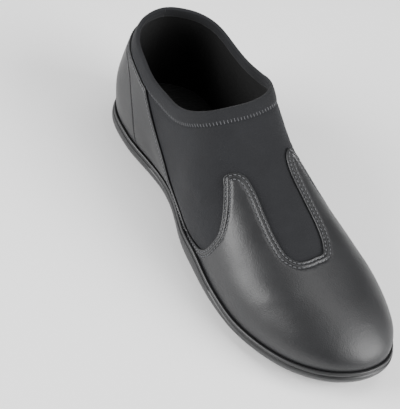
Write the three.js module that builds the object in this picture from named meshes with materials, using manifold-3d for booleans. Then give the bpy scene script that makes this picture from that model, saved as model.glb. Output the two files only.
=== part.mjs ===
// A slip-on colour guard shoe for the right foot: a stretch bootie with a leather vamp, quarter and
// heel counter laid over it, an insole, and a one-piece rubber outsole whose side cups the upper.
// Millimetres, +Z up, the toe towards +X and the lateral side towards -Y.
// Every section stands in an upright plane that starts on the spine, a line inside the shoe from the
// middle of the heel to the middle of the toe. A section's place is its ring number: 0 at the back of
// the heel, rising along the lateral side to the toe tip, and on along the medial side to the heel.

import * as THREE from "three";
import { mergeVertices } from "three/addons/utils/BufferGeometryUtils.js";
import Module from "manifold-3d";

const wasm = await Module();
wasm.setup();

// Driving sizes of the last and of the finished shoe
const LAST_LENGTH = 252;
const BALL_WIDTH = 94; // of the last, over its widest line
const THROAT_HEIGHT = 87; // collar's front, above the floor
const BACK_HEIGHT = 77; // collar's back, above the floor
const MEDIAL_RISE = 12; // how much higher the collar stands on the medial side than on the lateral one
const TUCK = 3.6; // how far the upper turns in below its widest line
// Sole
const HEEL_THICKNESS = 9;
const BALL_THICKNESS = 5.5;
const TOE_SPRING = 8;
const ARCH_RISE = 2.6;
const CUP_HEIGHT = 17; // side of the sole at the back of the heel
const LIP = 1.8; // thickness of the cup's edge
const BULGE = 0.6; // how far the side swells below the bead
const BEAD = 1.2; // rounded bead along the cup's edge
const BEAD_GROOVE = 0.5;
const SOLE_ROLL = 6; // how far the side rolls under to the tread
const TREAD_STEP = 1.4; // how far the tread stands below the side
const TREAD_INSET = 1.2;
const WAIST_STEP = 1.1; // how far the heel and forefoot pads stand below the waist
const GROOVE_WIDTH = 2.0; // flex groove across the tread
const GROOVE_DEPTH = 1.2;
// Walls and clearances
const WALL = 2.2; // stretch bootie with its lining
const LEATHER = 1.3;
const GAP = 0.3;
const BAND_WIDTH = 8; // turned-over band along the collar
const BAND_STEP = 0.5;
const MARGIN = 9; // what the bootie and the leather turn in under the foot
const INSOLE_THICKNESS = 3;
const INSOLE_EASE = 0.8; // between its edge and the bootie

const LEATHER_FACE = GAP + LEATHER; // outer face of the leather, off the bootie
const CUP_FACE = LEATHER_FACE + GAP; // inner face of the cup, off the bootie

// Plan of the last at its widest line: heel, lateral side, toe, medial side
// at: share of LAST_LENGTH; side: share of BALL_WIDTH, lateral negative
const plan = [
  { at: -0.014, side: 0 },
  { at: 0.01, side: -0.215 },
  { at: 0.066, side: -0.347 },
  { at: 0.16, side: -0.378 },
  { at: 0.28, side: -0.355 },
  { at: 0.39, side: -0.361 },
  { at: 0.49, side: -0.392 },
  { at: 0.59, side: -0.398 },
  { at: 0.68, side: -0.404 },
  { at: 0.77, side: -0.383 },
  { at: 0.855, side: -0.315 },
  { at: 0.925, side: -0.213 },
  { at: 0.979, side: -0.06 },
  { at: 1.0, side: 0.11 },
  { at: 0.988, side: 0.275 },
  { at: 0.94, side: 0.4 },
  { at: 0.86, side: 0.472 },
  { at: 0.77, side: 0.49 },
  { at: 0.69, side: 0.462 },
  { at: 0.6, side: 0.41 },
  { at: 0.5, side: 0.365 },
  { at: 0.4, side: 0.352 },
  { at: 0.28, side: 0.358 },
  { at: 0.17, side: 0.35 },
  { at: 0.075, side: 0.315 },
  { at: 0.018, side: 0.195 },
];

// Sections from the back of the heel to the toe tip
// at, shift: foot of the section on the spine, as shares of LAST_LENGTH and BALL_WIDTH
// turn: degrees from straight ahead; wide: height of the widest line, as a share of the section
// crown: 1 is an ellipse, more is more pointed; tuck: share of TUCK; lip: share of CUP_HEIGHT
// roll: share of SOLE_ROLL
const ribs = [
  { at: 0.128, shift: 0, turn: 180, wide: 0.23, crownLateral: 1.45, crownMedial: 1.45, tuckLateral: 1.6, tuckMedial: 1.6, lipLateral: 1, lipMedial: 1, rollLateral: 1.8, rollMedial: 1.8 },
  { at: 0.131, shift: 0, turn: 150, wide: 0.23, crownLateral: 1.65, crownMedial: 1.4, tuckLateral: 1.6, tuckMedial: 1.6, lipLateral: 1, lipMedial: 1, rollLateral: 1.8, rollMedial: 1.75 },
  { at: 0.14, shift: 0.002, turn: 120, wide: 0.22, crownLateral: 2.0, crownMedial: 1.25, tuckLateral: 1.6, tuckMedial: 1.6, lipLateral: 0.9, lipMedial: 0.97, rollLateral: 1.7, rollMedial: 1.6 },
  { at: 0.17, shift: 0.006, turn: 98, wide: 0.2, crownLateral: 2.0, crownMedial: 0.92, tuckLateral: 1.8, tuckMedial: 1.8, lipLateral: 0.82, lipMedial: 0.93, rollLateral: 1.6, rollMedial: 1.5 },
  { at: 0.255, shift: 0.015, turn: 90, wide: 0.2, crownLateral: 1.4, crownMedial: 0.72, tuckLateral: 2.4, tuckMedial: 2.6, lipLateral: 0.76, lipMedial: 0.9, rollLateral: 1.5, rollMedial: 1.5 },
  { at: 0.36, shift: 0.025, turn: 90, wide: 0.22, crownLateral: 0.85, crownMedial: 0.54, tuckLateral: 3.4, tuckMedial: 3.3, lipLateral: 0.7, lipMedial: 0.92, rollLateral: 1.4, rollMedial: 1.5 },
  { at: 0.465, shift: 0.035, turn: 90, wide: 0.24, crownLateral: 0.63, crownMedial: 0.54, tuckLateral: 3.2, tuckMedial: 3.1, lipLateral: 0.76, lipMedial: 0.94, rollLateral: 1.2, rollMedial: 1.4 },
  { at: 0.565, shift: 0.045, turn: 90, wide: 0.25, crownLateral: 0.66, crownMedial: 0.64, tuckLateral: 1.5, tuckMedial: 1.7, lipLateral: 0.94, lipMedial: 0.88, rollLateral: 1, rollMedial: 1.15 },
  { at: 0.66, shift: 0.055, turn: 89, wide: 0.27, crownLateral: 0.76, crownMedial: 0.76, tuckLateral: 1, tuckMedial: 0.85, lipLateral: 0.76, lipMedial: 0.73, rollLateral: 1, rollMedial: 0.9 },
  { at: 0.745, shift: 0.06, turn: 82, wide: 0.3, crownLateral: 0.84, crownMedial: 0.84, tuckLateral: 1.1, tuckMedial: 0.75, lipLateral: 0.61, lipMedial: 0.62, rollLateral: 1.1, rollMedial: 0.8 },
  { at: 0.8, shift: 0.063, turn: 68, wide: 0.33, crownLateral: 0.9, crownMedial: 0.9, tuckLateral: 1.1, tuckMedial: 0.75, lipLateral: 0.59, lipMedial: 0.6, rollLateral: 1.1, rollMedial: 0.8 },
  { at: 0.83, shift: 0.065, turn: 50, wide: 0.35, crownLateral: 0.9, crownMedial: 0.9, tuckLateral: 1, tuckMedial: 0.75, lipLateral: 0.6, lipMedial: 0.61, rollLateral: 1.1, rollMedial: 0.8 },
  { at: 0.846, shift: 0.066, turn: 32, wide: 0.36, crownLateral: 0.9, crownMedial: 0.9, tuckLateral: 0.75, tuckMedial: 0.75, lipLateral: 0.63, lipMedial: 0.63, rollLateral: 1, rollMedial: 1 },
  { at: 0.853, shift: 0.066, turn: 15, wide: 0.36, crownLateral: 0.9, crownMedial: 0.9, tuckLateral: 0.75, tuckMedial: 0.75, lipLateral: 0.66, lipMedial: 0.66, rollLateral: 1, rollMedial: 1 },
  { at: 0.855, shift: 0.066, turn: 0, wide: 0.36, crownLateral: 0.9, crownMedial: 0.9, tuckLateral: 0.75, tuckMedial: 0.75, lipLateral: 0.67, lipMedial: 0.67, rollLateral: 1, rollMedial: 1 },
];

// Top line of the last in side view, running on up the leg behind the throat
// height: share of THROAT_HEIGHT
const ridge = [
  { at: 0.0, height: 1.5 },
  { at: 0.12, height: 1.45 },
  { at: 0.2, height: 1.38 },
  { at: 0.3, height: 1.24 },
  { at: 0.4, height: 1.03 },
  { at: 0.45, height: 0.93 },
  { at: 0.5, height: 0.845 },
  { at: 0.56, height: 0.755 },
  { at: 0.63, height: 0.67 },
  { at: 0.7, height: 0.6 },
  { at: 0.78, height: 0.535 },
  { at: 0.86, height: 0.475 },
  { at: 0.93, height: 0.425 },
  { at: 1.0, height: 0.37 },
];

// Underside in side view: shares of TOE_SPRING, of ARCH_RISE, and of the step from ball to heel
const bed = [
  { at: -0.05, spring: 0, arch: 0, heel: 1 },
  { at: 0.2, spring: 0, arch: 0, heel: 1 },
  { at: 0.32, spring: 0, arch: 0.65, heel: 0.85 },
  { at: 0.43, spring: 0, arch: 1, heel: 0.55 },
  { at: 0.54, spring: 0, arch: 0.5, heel: 0.2 },
  { at: 0.63, spring: 0, arch: 0, heel: 0 },
  { at: 0.75, spring: 0, arch: 0, heel: 0 },
  { at: 0.84, spring: 0.2, arch: 0, heel: 0 },
  { at: 0.92, spring: 0.54, arch: 0, heel: 0 },
  { at: 1.0, spring: 1, arch: 0, heel: 0 },
  { at: 1.05, spring: 1.3, arch: 0, heel: 0 },
];

// Collar in side view. height: share of BACK_HEIGHT; rise: share of MEDIAL_RISE
const collar = [
  { at: -0.1, height: 1.01, rise: 0 },
  { at: 0.03, height: 1, rise: 0 },
  { at: 0.12, height: 0.93, rise: 0.15 },
  { at: 0.22, height: 0.87, rise: 0.42 },
  { at: 0.3, height: 0.89, rise: 0.78 },
  { at: 0.34, height: 0.937, rise: 1 },
  { at: 0.38, height: 1.02, rise: 0.92 },
  { at: 0.41, height: 1.1, rise: 0.62 },
  { at: 0.45, height: 1.35, rise: 0.3 },
];

// Stretch panel that the leather leaves bare, as flat patterns: a gore low on each side, and a tongue
// down the instep between the vamp's two wings
// rib: ring number from the heel; around: share from the ridge (0) down to the feather edge,
// lateral negative
const window = [
  { rib: 3.6, around: -0.6 },
  { rib: 4.2, around: -0.69 },
  { rib: 4.9, around: -0.76 },
  { rib: 5.5, around: -0.83 },
  { rib: 6.2, around: -0.87 },
  { rib: 6.9, around: -0.85 },
  { rib: 7.3, around: -0.79 },
  { rib: 7.52, around: -0.68 },
  { rib: 7.56, around: -0.58 },
  { rib: 7.44, around: -0.505 },
  { rib: 7.12, around: -0.415 },
  { rib: 6.84, around: -0.358 },
  { rib: 6.66, around: -0.318 },
  { rib: 6.69, around: -0.262 },
  { rib: 6.83, around: -0.212 },
  { rib: 7.22, around: -0.19 },
  { rib: 7.9, around: -0.205 },
  { rib: 8.5, around: -0.215 },
  { rib: 8.95, around: -0.195 },
  { rib: 9.25, around: -0.12 },
  { rib: 9.33, around: -0.02 },
  { rib: 9.24, around: 0.07 },
  { rib: 8.92, around: 0.125 },
  { rib: 8.4, around: 0.15 },
  { rib: 7.7, around: 0.14 },
  { rib: 6.95, around: 0.125 },
  { rib: 6.62, around: 0.145 },
  { rib: 6.5, around: 0.185 },
  { rib: 6.56, around: 0.23 },
  { rib: 6.8, around: 0.28 },
  { rib: 7.12, around: 0.35 },
  { rib: 7.45, around: 0.44 },
  { rib: 7.6, around: 0.54 },
  { rib: 7.55, around: 0.65 },
  { rib: 7.3, around: 0.74 },
  { rib: 6.9, around: 0.79 },
  { rib: 6.2, around: 0.81 },
  { rib: 5.5, around: 0.78 },
  { rib: 4.9, around: 0.72 },
  { rib: 4.2, around: 0.655 },
  { rib: 3.6, around: 0.6 },
];
const lateralTopEdge = [
  { rib: -0.6, around: 0.47 },
  { rib: 0.6, around: 0.455 },
  { rib: 1.5, around: 0.448 },
  { rib: 2.4, around: 0.465 },
  { rib: 3.2, around: 0.535 },
  { rib: 4, around: 0.655 },
];
const medialTopEdge = [
  { rib: -0.6, around: 0.47 },
  { rib: 0.6, around: 0.455 },
  { rib: 1.5, around: 0.448 },
  { rib: 2.4, around: 0.465 },
  { rib: 3.2, around: 0.53 },
  { rib: 4, around: 0.635 },
];

// Seams that cut the leather into vamp, quarter and counter, from the panel's edge to the sole
const lateralSeam = [
  { rib: 6.3, around: -0.6 },
  { rib: 6.45, around: -0.84 },
  { rib: 6.6, around: -0.95 },
  { rib: 6.65, around: -1.4 },
];
const medialSeam = [
  { rib: 6.2, around: 0.6 },
  { rib: 6.4, around: 0.78 },
  { rib: 6.7, around: 0.92 },
  { rib: 6.8, around: 1.4 },
];
const counterSeam = [
  { rib: -0.6, around: 0.575 },
  { rib: 0.6, around: 0.565 },
  { rib: 1.6, around: 0.565 },
  { rib: 2.4, around: 0.6 },
  { rib: 3, around: 0.685 },
  { rib: 3.4, around: 0.81 },
  { rib: 3.53, around: 0.95 },
  { rib: 3.55, around: 1.4 },
];

// Flex groove across the tread at the toe joints. side: share of BALL_WIDTH
const flexGroove = [
  { at: 0.8, side: -0.62 },
  { at: 0.785, side: -0.3 },
  { at: 0.765, side: 0 },
  { at: 0.73, side: 0.3 },
  { at: 0.69, side: 0.62 },
];

// Front edge of the heel pad and back edge of the forefoot pad, with the smooth waist between
const heelPadFront = [
  { at: 0.25, side: -0.62 },
  { at: 0.31, side: -0.3 },
  { at: 0.345, side: -0.05 },
  { at: 0.325, side: 0.22 },
  { at: 0.25, side: 0.62 },
];
const forefootPadBack = [
  { at: 0.57, side: -0.62 },
  { at: 0.55, side: -0.35 },
  { at: 0.535, side: 0 },
  { at: 0.5, side: 0.3 },
  { at: 0.46, side: 0.62 },
];

// Fineness of the faceted solids
const COLUMNS_PER_RIB = 2;
const TURN_IN_ROWS = 3; // below the widest line
const CROWN_ROWS = 10; // above it
const PROFILE_STEPS = 48; // a whole number of times twice TURN_IN_ROWS
const PLAN_STEPS = 520;
const PATTERN_CELL = 0.5; // ribs
const PATTERN_ROWS = 30;
const PATTERN_OVERRUN = 3; // how far a pattern may run in past the turned-in margin

const RADIANS = Math.PI / 180;
const HALF_RING = ribs.length - 1;
const RING = 2 * HALF_RING;

// A smooth curve through a table's column that keeps level stretches level
function through(rows, key) {
  const steps = rows.slice(1).map((row, n) => (row[key] - rows[n][key]) / (row.at - rows[n].at));
  const slope = rows.map((row, n) => {
    if (n === 0) return steps[0];
    if (n === rows.length - 1) return steps[n - 1];
    const [before, after] = [steps[n - 1], steps[n]];
    return before * after <= 0 ? 0 : (2 * before * after) / (before + after);
  });
  return (at) => {
    const last = rows.length - 1;
    if (at <= rows[0].at) return rows[0][key] + slope[0] * (at - rows[0].at);
    if (at >= rows[last].at) return rows[last][key] + slope[last] * (at - rows[last].at);
    const n = rows.findIndex((row) => row.at > at) - 1;
    const width = rows[n + 1].at - rows[n].at;
    const u = (at - rows[n].at) / width;
    const [u2, u3] = [u * u, u * u * u];
    return (
      rows[n][key] * (2 * u3 - 3 * u2 + 1) +
      slope[n] * width * (u3 - 2 * u2 + u) +
      rows[n + 1][key] * (3 * u2 - 2 * u3) +
      slope[n + 1] * width * (u3 - u2)
    );
  };
}

const ridgeShare = through(ridge, "height");
const springShare = through(bed, "spring");
const archShare = through(bed, "arch");
const heelShare = through(bed, "heel");
const collarShare = through(collar, "height");
const riseShare = through(collar, "rise");

const ridgeHeight = (x) => THROAT_HEIGHT * ridgeShare(x / LAST_LENGTH);
const ridgeSlope = (x) => (ridgeHeight(x + 1) - ridgeHeight(x - 1)) / 2;
const treadHeight = (x) => TOE_SPRING * springShare(x / LAST_LENGTH) + ARCH_RISE * archShare(x / LAST_LENGTH);
const soleThickness = (x) => BALL_THICKNESS + (HEEL_THICKNESS - BALL_THICKNESS) * heelShare(x / LAST_LENGTH);
const bedHeight = (x) => treadHeight(x) + soleThickness(x);
const collarHeight = (x) => BACK_HEIGHT * collarShare(x / LAST_LENGTH);

// The plan as a closed run of short steps
const planCurve = new THREE.CatmullRomCurve3(
  plan.map((row) => new THREE.Vector3(row.at * LAST_LENGTH, row.side * BALL_WIDTH, 0)),
  true,
).getPoints(PLAN_STEPS);

// How far the plan lies from a spine point in one direction
function reach(foot, ahead) {
  let nearest = Infinity;
  for (let n = 0; n < PLAN_STEPS; n++) {
    const [a, b] = [planCurve[n], planCurve[n + 1]];
    const sideA = ahead.x * (a.y - foot.y) - ahead.y * (a.x - foot.x);
    const sideB = ahead.x * (b.y - foot.y) - ahead.y * (b.x - foot.x);
    if (sideA * sideB > 0 || sideA === sideB) continue;
    const share = sideA / (sideA - sideB);
    const x = a.x + share * (b.x - a.x) - foot.x;
    const y = a.y + share * (b.y - a.y) - foot.y;
    const distance = x * ahead.x + y * ahead.y;
    if (distance > 0 && distance < nearest) nearest = distance;
  }
  return nearest;
}

// Row of the section table at a whole ring number, and the side that it is on
function ribAt(number) {
  const place = ((number % RING) + RING) % RING;
  const medial = place > HALF_RING;
  return { ...ribs[medial ? RING - place : place], medial };
}

// A value of the section table at any ring number, smooth all round the ring
function ringValue(ring, pick) {
  const start = Math.floor(ring);
  const u = ring - start;
  const [a, b, c, d] = [-1, 0, 1, 2].map((n) => pick(ribAt(start + n)));
  return b + 0.5 * u * (c - a + u * (2 * a - 5 * b + 4 * c - d + u * (3 * (b - c) + d - a)));
}

// One section: its plane, its named sizes and its line from the feather edge up to the ridge
const LOW_STEPS = PROFILE_STEPS / 2;
const sections = new Map();
function sectionAt(ring) {
  const key = ring.toFixed(5);
  if (sections.has(key)) return sections.get(key);
  const foot = new THREE.Vector2(
    LAST_LENGTH * ringValue(ring, (rib) => rib.at),
    BALL_WIDTH * ringValue(ring, (rib) => rib.shift),
  );
  const ahead = new THREE.Vector2(
    ringValue(ring, (rib) => Math.cos(rib.turn * RADIANS)),
    ringValue(ring, (rib) => (rib.medial ? 1 : -1) * Math.sin(rib.turn * RADIANS)),
  ).normalize();
  const wide = reach(foot, ahead);
  const tuck = TUCK * ringValue(ring, (rib) => (rib.medial ? rib.tuckMedial : rib.tuckLateral));
  const crown = ringValue(ring, (rib) => (rib.medial ? rib.crownMedial : rib.crownLateral));
  const feather = bedHeight(foot.x + (wide - tuck) * ahead.x) + CUP_FACE;
  const top = ridgeHeight(foot.x);
  const lean = ridgeSlope(foot.x) * ahead.x;
  const over = top + lean * wide;
  const widest = feather + (over - feather) * ringValue(ring, (rib) => rib.wide);
  const made = { foot, ahead, wide, tuck, feather, widest, line: [], run: [0] };
  for (let n = 0; n <= LOW_STEPS; n++) made.line.push(turnedIn(made, n, 0));
  for (let n = 1; n <= PROFILE_STEPS; n++) {
    const angle = (n / PROFILE_STEPS) * 90 * RADIANS;
    const r = n === PROFILE_STEPS ? 0 : wide * Math.cos(angle) ** crown;
    made.line.push([r, top + lean * r - (over - widest) * (1 - Math.sin(angle))]);
  }
  for (let n = 1; n < made.line.length; n++) {
    const [from, to] = [made.line[n - 1], made.line[n]];
    made.run.push(made.run[n - 1] + Math.hypot(to[0] - from[0], to[1] - from[1]));
  }
  made.total = made.run[made.run.length - 1];
  made.turnIn = made.run[LOW_STEPS];
  sections.set(key, made);
  return made;
}

// Below the widest line the section is a quarter of an ellipse, which turns in to the feather edge
function turnedIn({ wide, tuck, feather, widest }, step, off) {
  const angle = (1 - step / LOW_STEPS) * 90 * RADIANS;
  const r = wide + off - (tuck + off) * (1 - Math.cos(angle));
  return [r, widest - (widest - feather + off) * Math.sin(angle)];
}

// Where a distance up from the feather edge falls among the steps of a section's line
function stepAt({ run, total }, up) {
  const end = Math.min(up, total);
  const n = Math.max(1, run.findIndex((length) => length >= end - 1e-9));
  return n - 1 + (end - run[n - 1]) / (run[n] - run[n - 1]);
}

// A point of a section at a distance from the spine and a height
function inSection(ring, r, z) {
  const { foot, ahead } = sectionAt(ring);
  return new THREE.Vector3(foot.x + r * ahead.x, foot.y + r * ahead.y, z);
}

// The point of a section at a distance up from the feather edge
function onSection(ring, up) {
  const section = sectionAt(ring);
  const step = stepAt(section, up);
  const n = Math.min(Math.floor(step), section.line.length - 2);
  const [from, to] = [section.line[n], section.line[n + 1]];
  return inSection(ring, from[0] + (step - n) * (to[0] - from[0]), from[1] + (step - n) * (to[1] - from[1]));
}

// The same point moved off the last's face by a distance, outwards where positive; under the foot,
// in from the feather edge, where the distance up is negative
const RING_NUDGE = 0.08;
const UP_NUDGE = 0.8;
function offSection(ring, up, off) {
  const section = sectionAt(ring);
  if (up <= 0) return underfoot(ring, section.wide - section.tuck + up, -off);
  if (up <= section.turnIn) return inSection(ring, ...turnedIn(section, stepAt(section, up), off));
  const point = onSection(ring, up);
  if (up >= section.total - 1e-6) {
    const slope = ridgeSlope(section.foot.x);
    return point.addScaledVector(new THREE.Vector3(-slope, 0, 1).normalize(), off);
  }
  const share = up / section.total;
  const before = onSection(ring - RING_NUDGE, share * sectionAt(ring - RING_NUDGE).total);
  const after = onSection(ring + RING_NUDGE, share * sectionAt(ring + RING_NUDGE).total);
  const low = onSection(ring, up - UP_NUDGE);
  const high = onSection(ring, Math.min(section.total, up + UP_NUDGE));
  const normal = after.sub(before).cross(high.sub(low)).normalize();
  return point.addScaledVector(normal, off);
}

// The last's underside, which runs straight from the spine to the feather edge, raised by a height
function underfoot(ring, r, raised) {
  const { foot, wide, tuck, feather } = sectionAt(ring);
  const middle = bedHeight(foot.x) + CUP_FACE;
  return inSection(ring, r, middle + ((feather - middle) * r) / (wide - tuck) + raised);
}

// A geometry or a list of points and triangles as a solid that can be joined and cut
function solidFrom(points, triangles) {
  const geometry = new THREE.BufferGeometry().setAttribute("position", new THREE.Float32BufferAttribute(points.flat(), 3));
  geometry.setIndex(triangles.flat());
  const merged = mergeVertices(geometry, 1e-3);
  const kept = [];
  const index = merged.index.array;
  for (let n = 0; n < index.length; n += 3) {
    const [a, b, c] = index.slice(n, n + 3);
    if (a !== b && b !== c && c !== a) kept.push(a, b, c);
  }
  return new wasm.Manifold(
    new wasm.Mesh({ numProp: 3, vertProperties: merged.attributes.position.array, triVerts: new Uint32Array(kept) }),
  );
}

function solidOf(geometry) {
  const bare = geometry.index ? geometry.toNonIndexed() : geometry;
  const place = bare.attributes.position;
  const points = [];
  const triangles = [];
  for (let n = 0; n < place.count; n++) points.push([place.getX(n), place.getY(n), place.getZ(n)]);
  for (let n = 0; n < place.count; n += 3) triangles.push([n, n + 1, n + 2]);
  return solidFrom(points, triangles);
}

// A closed solid from one run of points in each section, from the spine's underside out and back in
function ringSolid(runAt) {
  const columns = RING * COLUMNS_PER_RIB;
  const points = [];
  const triangles = [];
  let rows = 0;
  for (let n = 0; n < columns; n++) {
    const run = runAt(n / COLUMNS_PER_RIB);
    rows = run.length;
    points.push(...run.map((point) => point.toArray()));
  }
  for (let n = 0; n < columns; n++) {
    const [here, next] = [n * rows, ((n + 1) % columns) * rows];
    for (let row = 0; row + 1 < rows; row++) {
      triangles.push([here + row, next + row, next + row + 1]);
      triangles.push([here + row, next + row + 1, here + row + 1]);
    }
  }
  return solidFrom(points, triangles);
}

// Heights up a section where its rows of facets lie, closer together low down at the heel
function rowsUp(ring) {
  const { total, turnIn, ahead, run } = sectionAt(ring);
  const gather = ahead.x < 0 ? 1.6 : 1.6 - 0.6 * ahead.x - 0.4 * Math.min(1, sectionAt(ring).foot.x / LAST_LENGTH);
  const low = Array.from({ length: TURN_IN_ROWS }, (_, n) => run[(n * LOW_STEPS) / TURN_IN_ROWS]);
  const high = Array.from(
    { length: CROWN_ROWS + 1 },
    (_, n) => turnIn + (total - turnIn) * (n / CROWN_ROWS) ** gather,
  );
  return [...low, ...high];
}

const marginEdge = (ring) => sectionAt(ring).wide - sectionAt(ring).tuck - MARGIN;

// The whole last, its face moved off by a distance
function lastForm(off) {
  return ringSolid((ring) => [underfoot(ring, 0, -off), ...rowsUp(ring).map((up) => offSection(ring, up, off))]);
}

// The room inside a wall of that thickness, open underneath inside the turned-in margin
const OPEN_BELOW = 6;
function room(wall) {
  return ringSolid((ring) => [
    underfoot(ring, 0, -OPEN_BELOW),
    underfoot(ring, marginEdge(ring), -OPEN_BELOW),
    underfoot(ring, marginEdge(ring), wall),
    ...rowsUp(ring).map((up) => offSection(ring, up, -wall)),
  ]);
}

// What the margin leaves open underneath
function underside() {
  return ringSolid((ring) => [
    underfoot(ring, 0, -OPEN_BELOW),
    underfoot(ring, marginEdge(ring), -OPEN_BELOW),
    underfoot(ring, marginEdge(ring), OPEN_BELOW),
    underfoot(ring, 0, OPEN_BELOW),
  ]);
}

// Everything above the collar's line, lowered by a distance square to it, and climbing to the medial side
const COLLAR_STEPS = 48;
const COLLAR_HALF_WIDTH = 0.35; // share of BALL_WIDTH from the middle to each wall
const SIDE_REACH = 200;
function aboveCollar(lowered) {
  const [first, last] = [collar[0].at * LAST_LENGTH, collar[collar.length - 1].at * LAST_LENGTH];
  const line = Array.from({ length: COLLAR_STEPS + 1 }, (_, n) => {
    const x = first + ((last - first) * n) / COLLAR_STEPS;
    const slope = collarHeight(x + 0.5) - collarHeight(x - 0.5);
    const across = new THREE.Vector2(slope, -1).normalize().multiplyScalar(lowered);
    return new THREE.Vector2(x + across.x, collarHeight(x) + across.y);
  });
  const shape = new THREE.Shape([
    ...line,
    new THREE.Vector2(last + lowered, SIDE_REACH),
    new THREE.Vector2(first, SIDE_REACH),
  ]);
  const block = new THREE.ExtrudeGeometry(shape, { depth: 2 * BALL_WIDTH, bevelEnabled: false });
  block.rotateX(90 * RADIANS).translate(0, BALL_WIDTH, 0);
  const { position } = block.attributes;
  for (let n = 0; n < position.count; n += 1) {
    const medial = 0.5 + (0.5 * position.getY(n)) / (COLLAR_HALF_WIDTH * BALL_WIDTH);
    const rise = MEDIAL_RISE * riseShare(position.getX(n) / LAST_LENGTH) * medial;
    position.setZ(n, position.getZ(n) + rise);
  }
  return solidOf(block);
}

// A flat pattern, cut to its outline and laid over the last between two distances off its face
function laidOver(outline, inner, outer) {
  const shape = new THREE.Shape(outline.map(({ rib, around }) => new THREE.Vector2(rib, around)));
  const knife = solidOf(
    new THREE.ExtrudeGeometry(shape, { depth: 4, bevelEnabled: false }).translate(0, 0, -2),
  );
  const ribsOf = outline.map(({ rib }) => rib);
  const low = Math.floor(Math.min(...ribsOf)) - PATTERN_CELL;
  const high = Math.ceil(Math.max(...ribsOf)) + PATTERN_CELL;
  const cells = Math.round((high - low) / PATTERN_CELL);
  const height = 2.6; // shares, a little past the margins on both sides
  const sheet = solidOf(
    new THREE.BoxGeometry(high - low, height, 2, cells, PATTERN_ROWS, 1).translate((low + high) / 2, 0, 0),
  );
  const cut = sheet.intersect(knife).getMesh();
  const points = [];
  for (let n = 0; n < cut.numVert; n++) {
    const [rib, around, side] = cut.vertProperties.slice(n * cut.numProp, n * cut.numProp + 3);
    const ring = around < 0 ? rib : RING - rib;
    const up = Math.max(sectionAt(ring).total * (1 - Math.abs(around)), -MARGIN - PATTERN_OVERRUN);
    points.push(offSection(ring, up, side < 0 ? inner : outer).toArray());
  }
  const triangles = [];
  for (let n = 0; n < cut.triVerts.length; n += 3) triangles.push([...cut.triVerts.slice(n, n + 3)]);
  const laid = solidFrom(points, triangles);
  return laid.volume() > 0 ? laid : solidFrom(points, triangles.map(([a, b, c]) => [a, c, b]));
}

// A run of rows drawn as a smooth line in the flat pattern
function drawn(rows, closed, steps) {
  const curve = new THREE.CatmullRomCurve3(
    rows.map(({ rib, around }) => new THREE.Vector3(rib, around, 0)),
    closed,
  );
  return curve.getPoints(steps).map(({ x, y }) => ({ rib: x, around: y }));
}

const CUT_IN = -4; // how far below the bootie's face a pattern's knife reaches
const CUT_OUT = 6;
const SEAM_STEPS = 20;
const RIB_PITCH = LAST_LENGTH / 10; // about the distance from one rib to the next along the side
const seamShift = GAP / 2 / RIB_PITCH;
const aroundShift = GAP / 2 / (BACK_HEIGHT + BALL_WIDTH / 2);

// The bare part of the bootie: a window over the instep, and a strip back round each side
function panelCutter() {
  const strip = (rows, side) => [
    ...drawn(rows, false, SEAM_STEPS).map(({ rib, around }) => ({ rib, around: side * around })),
    { rib: 4, around: side * 0.1 },
    { rib: -0.6, around: side * 0.1 },
  ];
  return laidOver(drawn(window, false, window.length * 3), CUT_IN, CUT_OUT)
    .add(laidOver(strip(lateralTopEdge, -1), CUT_IN, CUT_OUT))
    .add(laidOver(strip(medialTopEdge, 1), CUT_IN, CUT_OUT));
}

// The leather behind the two side seams, grown or shrunk at them by a share of the gap
function rearCutter(grow) {
  const behind = (seam, side) => [
    ...drawn(seam, false, SEAM_STEPS).map(({ rib, around }) => ({ rib: rib + grow * seamShift, around })),
    { rib: -0.7, around: side * 1.4 },
    { rib: -0.7, around: side * 0.3 },
  ];
  return laidOver(behind(lateralSeam, -1), CUT_IN, CUT_OUT).add(laidOver(behind(medialSeam, 1), CUT_IN, CUT_OUT));
}

// The counter's room on one side, grown or shrunk at its seam by a share of the gap
function counterCutter(side, grow) {
  const seam = drawn(counterSeam, false, SEAM_STEPS).map(({ rib, around }) => ({
    rib: rib + grow * seamShift,
    around: side * (around - grow * aroundShift),
  }));
  return laidOver([...seam, { rib: -0.6, around: side * 1.4 }], CUT_IN, CUT_OUT);
}

// The bootie: one hollow wall, open at the collar and underneath, with a band along the collar
function makeBootie() {
  const wall = lastForm(0).subtract(room(WALL));
  const band = lastForm(BAND_STEP)
    .subtract(room(WALL + BAND_STEP))
    .intersect(aboveCollar(BAND_WIDTH));
  return wall.add(band).subtract(aboveCollar(0));
}

function makeLeather() {
  return lastForm(LEATHER_FACE)
    .subtract(lastForm(GAP))
    .subtract(underside())
    .subtract(aboveCollar(BAND_WIDTH))
    .subtract(panelCutter());
}

function makeVamp(leather) {
  return leather.subtract(rearCutter(1));
}

function makeQuarter(leather) {
  return leather
    .intersect(rearCutter(-1))
    .subtract(counterCutter(-1, 1))
    .subtract(counterCutter(1, 1));
}

function makeCounter(leather) {
  return leather.intersect(counterCutter(-1, -1).add(counterCutter(1, -1)));
}

// How far up a section its face, moved off by a distance, comes level with a height
const CLIMB_STEP = 0.25;
function climb(ring, off, heightAt) {
  const { total } = sectionAt(ring);
  let up = 0;
  let point = offSection(ring, up, off);
  while (point.z < heightAt(point) && up < total / 2) {
    up += CLIMB_STEP;
    point = offSection(ring, up, off);
  }
  return up;
}

// The insole lies on the turned-in margin, inside the bootie's wall
function makeInsole() {
  const clear = WALL + GAP;
  return ringSolid((ring) => {
    const base = offSection(ring, 0, -clear);
    const top = underfoot(ring, 0, clear + INSOLE_THICKNESS);
    const side = [0.5, 1].map((share) => {
      const up = climb(ring, -WALL - INSOLE_EASE, () => base.z + INSOLE_THICKNESS * share);
      return offSection(ring, up, -WALL - INSOLE_EASE);
    });
    return [underfoot(ring, 0, clear), base, ...side, top];
  });
}

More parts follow.
